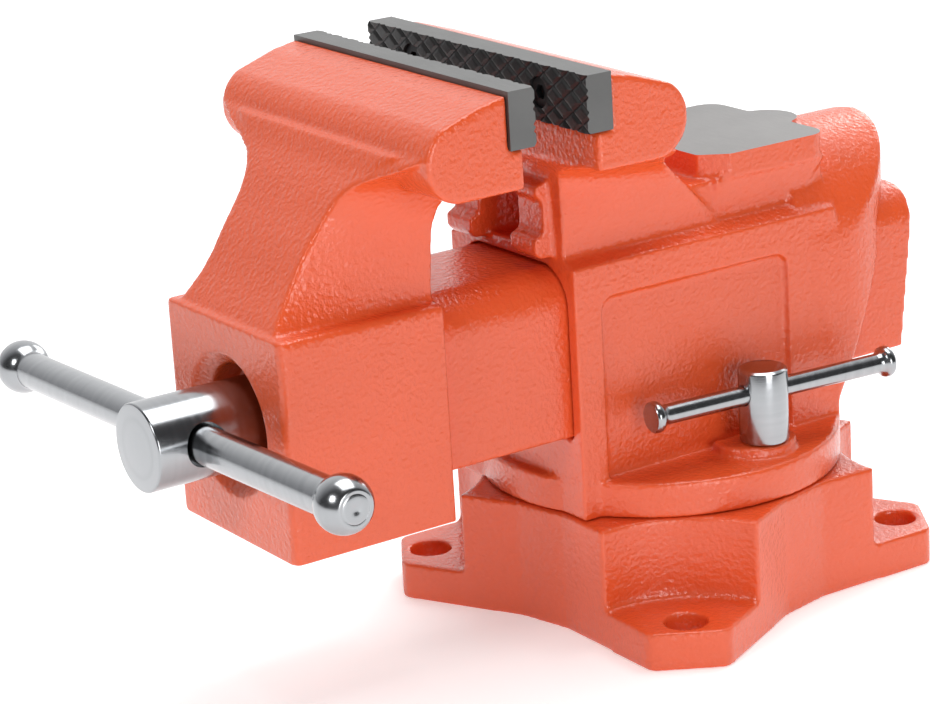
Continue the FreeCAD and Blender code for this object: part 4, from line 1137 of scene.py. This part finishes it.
class VISE_OT_studio(bpy.types.Operator):
    """Set the pale floor, the soft lights and the camera"""
    bl_idname = "vise.studio"
    bl_label = "Studio"

    def execute(self, context):
        self.floor()
        self.lights()
        self.world(context.scene)
        self.camera(context.scene)
        return {"FINISHED"}

    def floor(self):
        build = bmesh.new()
        bmesh.ops.create_grid(build, x_segments=1, y_segments=1, size=FLOOR_HALF)
        thing = built("floor", build)
        material, _, _ = new_material(
            "pale_floor", Roughness=0.7, Base_Color=(0.9, 0.9, 0.9, 1),
            Emission_Color=(1, 1, 1, 1), Emission_Strength=0.36)
        thing.data.materials.append(material)

    def lights(self):
        centre = (CAD_BOX[0] + CAD_BOX[1]) / 2
        for name, spot, size, power in (
                ("overhead", (0.0, 0.3, 2.0), 1.6, 30),
                ("front", (0.5, -2.1, 1.35), 0.7, 15),
                ("right_side", (2.3, -0.3, 0.45), 1.0, 17),
                ("back_rim", (-0.9, 1.8, 0.9), 1.0, 10)):
            lamp = bpy.data.lights.new(name, "AREA")
            lamp.shape = "SQUARE"
            lamp.size = size
            lamp.energy = power
            thing = bpy.data.objects.new(name, lamp)
            thing.location = centre + Vector(spot)
            thing.rotation_euler = (centre - thing.location).to_track_quat("-Z", "Y").to_euler()
            bpy.context.scene.collection.objects.link(thing)

    def world(self, scene):
        world = bpy.data.worlds.new("studio")
        world.use_nodes = True
        tree = world.node_tree
        back = tree.nodes["Background"]
        seen = add(tree, "ShaderNodeLightPath")
        where = add(tree, "ShaderNodeTexCoord")
        azimuth = scene.vise_studio.azimuth
        away = add(tree, "ShaderNodeVectorMath", operation="DOT_PRODUCT")
        away.inputs[1].default_value = (-math.sin(azimuth), math.cos(azimuth), 0.35)
        tree.links.new(where.outputs["Generated"], away.inputs[0])
        spread = add(tree, "ShaderNodeMapRange")
        spread.inputs["From Min"].default_value = -1.0
        tree.links.new(away.outputs["Value"], spread.inputs["Value"])
        sky = add(tree, "ShaderNodeValToRGB")
        ramp = sky.color_ramp
        ramp.elements[0].position, ramp.elements[0].color = 0.0, (0.16, 0.16, 0.17, 1)
        ramp.elements[1].position, ramp.elements[1].color = 1.0, (1.15, 1.15, 1.15, 1)
        for position, tone in ((0.3, 0.06), (0.55, 0.09), (0.74, 0.5)):
            stop = ramp.elements.new(position)
            stop.color = (tone, tone, tone * 1.03, 1)
        tree.links.new(spread.outputs["Result"], sky.inputs["Fac"])
        mix = add(tree, "ShaderNodeMix", data_type="RGBA")
        tree.links.new(sky.outputs["Color"], mix.inputs[6])
        mix.inputs[7].default_value = (1.0, 1.0, 1.0, 1)
        tree.links.new(seen.outputs["Is Camera Ray"], mix.inputs[0])
        tree.links.new(mix.outputs[2], back.inputs["Color"])
        back.inputs["Strength"].default_value = 1.0
        scene.world = world
        scene.view_settings.view_transform = "Standard"

    def camera(self, scene):
        settings = scene.vise_studio
        camera = bpy.data.cameras.new("camera")
        camera.sensor_width = SENSOR
        camera.lens = settings.lens
        thing = bpy.data.objects.new("camera", camera)
        a, e = settings.azimuth, settings.elevation
        back = Vector((math.sin(a) * math.cos(e), -math.cos(a) * math.cos(e), math.sin(e)))
        right = Vector((math.cos(a), math.sin(a), 0))
        up = back.cross(right)
        c, s = math.cos(settings.roll), math.sin(settings.roll)
        turn = Matrix((c * right + s * up, -s * right + c * up, back)).transposed().to_4x4()
        thing.matrix_world = Matrix.Translation(
            Vector(settings.aim) + back * settings.distance) @ turn
        camera.clip_start, camera.clip_end = 0.05, 50
        scene.collection.objects.link(thing)
        scene.camera = thing


SETTINGS = (("vise_casting", CastingSettings), ("vise_plate", PlateSettings),
            ("vise_screw", ScrewSettings), ("vise_studio", StudioSettings))
STEPS = (VISE_OT_base_casting, VISE_OT_body_casting, VISE_OT_jaw_casting, VISE_OT_jaw_plates,
         VISE_OT_plate_screws, VISE_OT_main_screw, VISE_OT_handle, VISE_OT_clamp_screws,
         VISE_OT_inner_works, VISE_OT_studio)


class VISE_PT_sidebar(bpy.types.Panel):
    """Lists the pieces of the vise and their sizes"""
    bl_label = "Bench Vise"
    bl_space_type = "VIEW_3D"
    bl_region_type = "UI"
    bl_category = "Bench Vise"

    def draw(self, context):
        for name, group in SETTINGS:
            box = self.layout.box()
            for key in group.__annotations__:
                box.prop(getattr(context.scene, name), key)
        for step in STEPS:
            self.layout.operator(step.bl_idname)


def register():
    for name, group in SETTINGS:
        bpy.utils.register_class(group)
        setattr(bpy.types.Scene, name, bpy.props.PointerProperty(type=group))
    for item in (*STEPS, VISE_PT_sidebar):
        bpy.utils.register_class(item)


def unregister():
    for item in (VISE_PT_sidebar, *reversed(STEPS)):
        bpy.utils.unregister_class(item)
    for name, group in reversed(SETTINGS):
        delattr(bpy.types.Scene, name)
        bpy.utils.unregister_class(group)


def main():
    register()
    for step in STEPS:
        family, action = step.bl_idname.split(".")
        getattr(getattr(bpy.ops, family), action)()


if __name__ == "__main__":
    main()
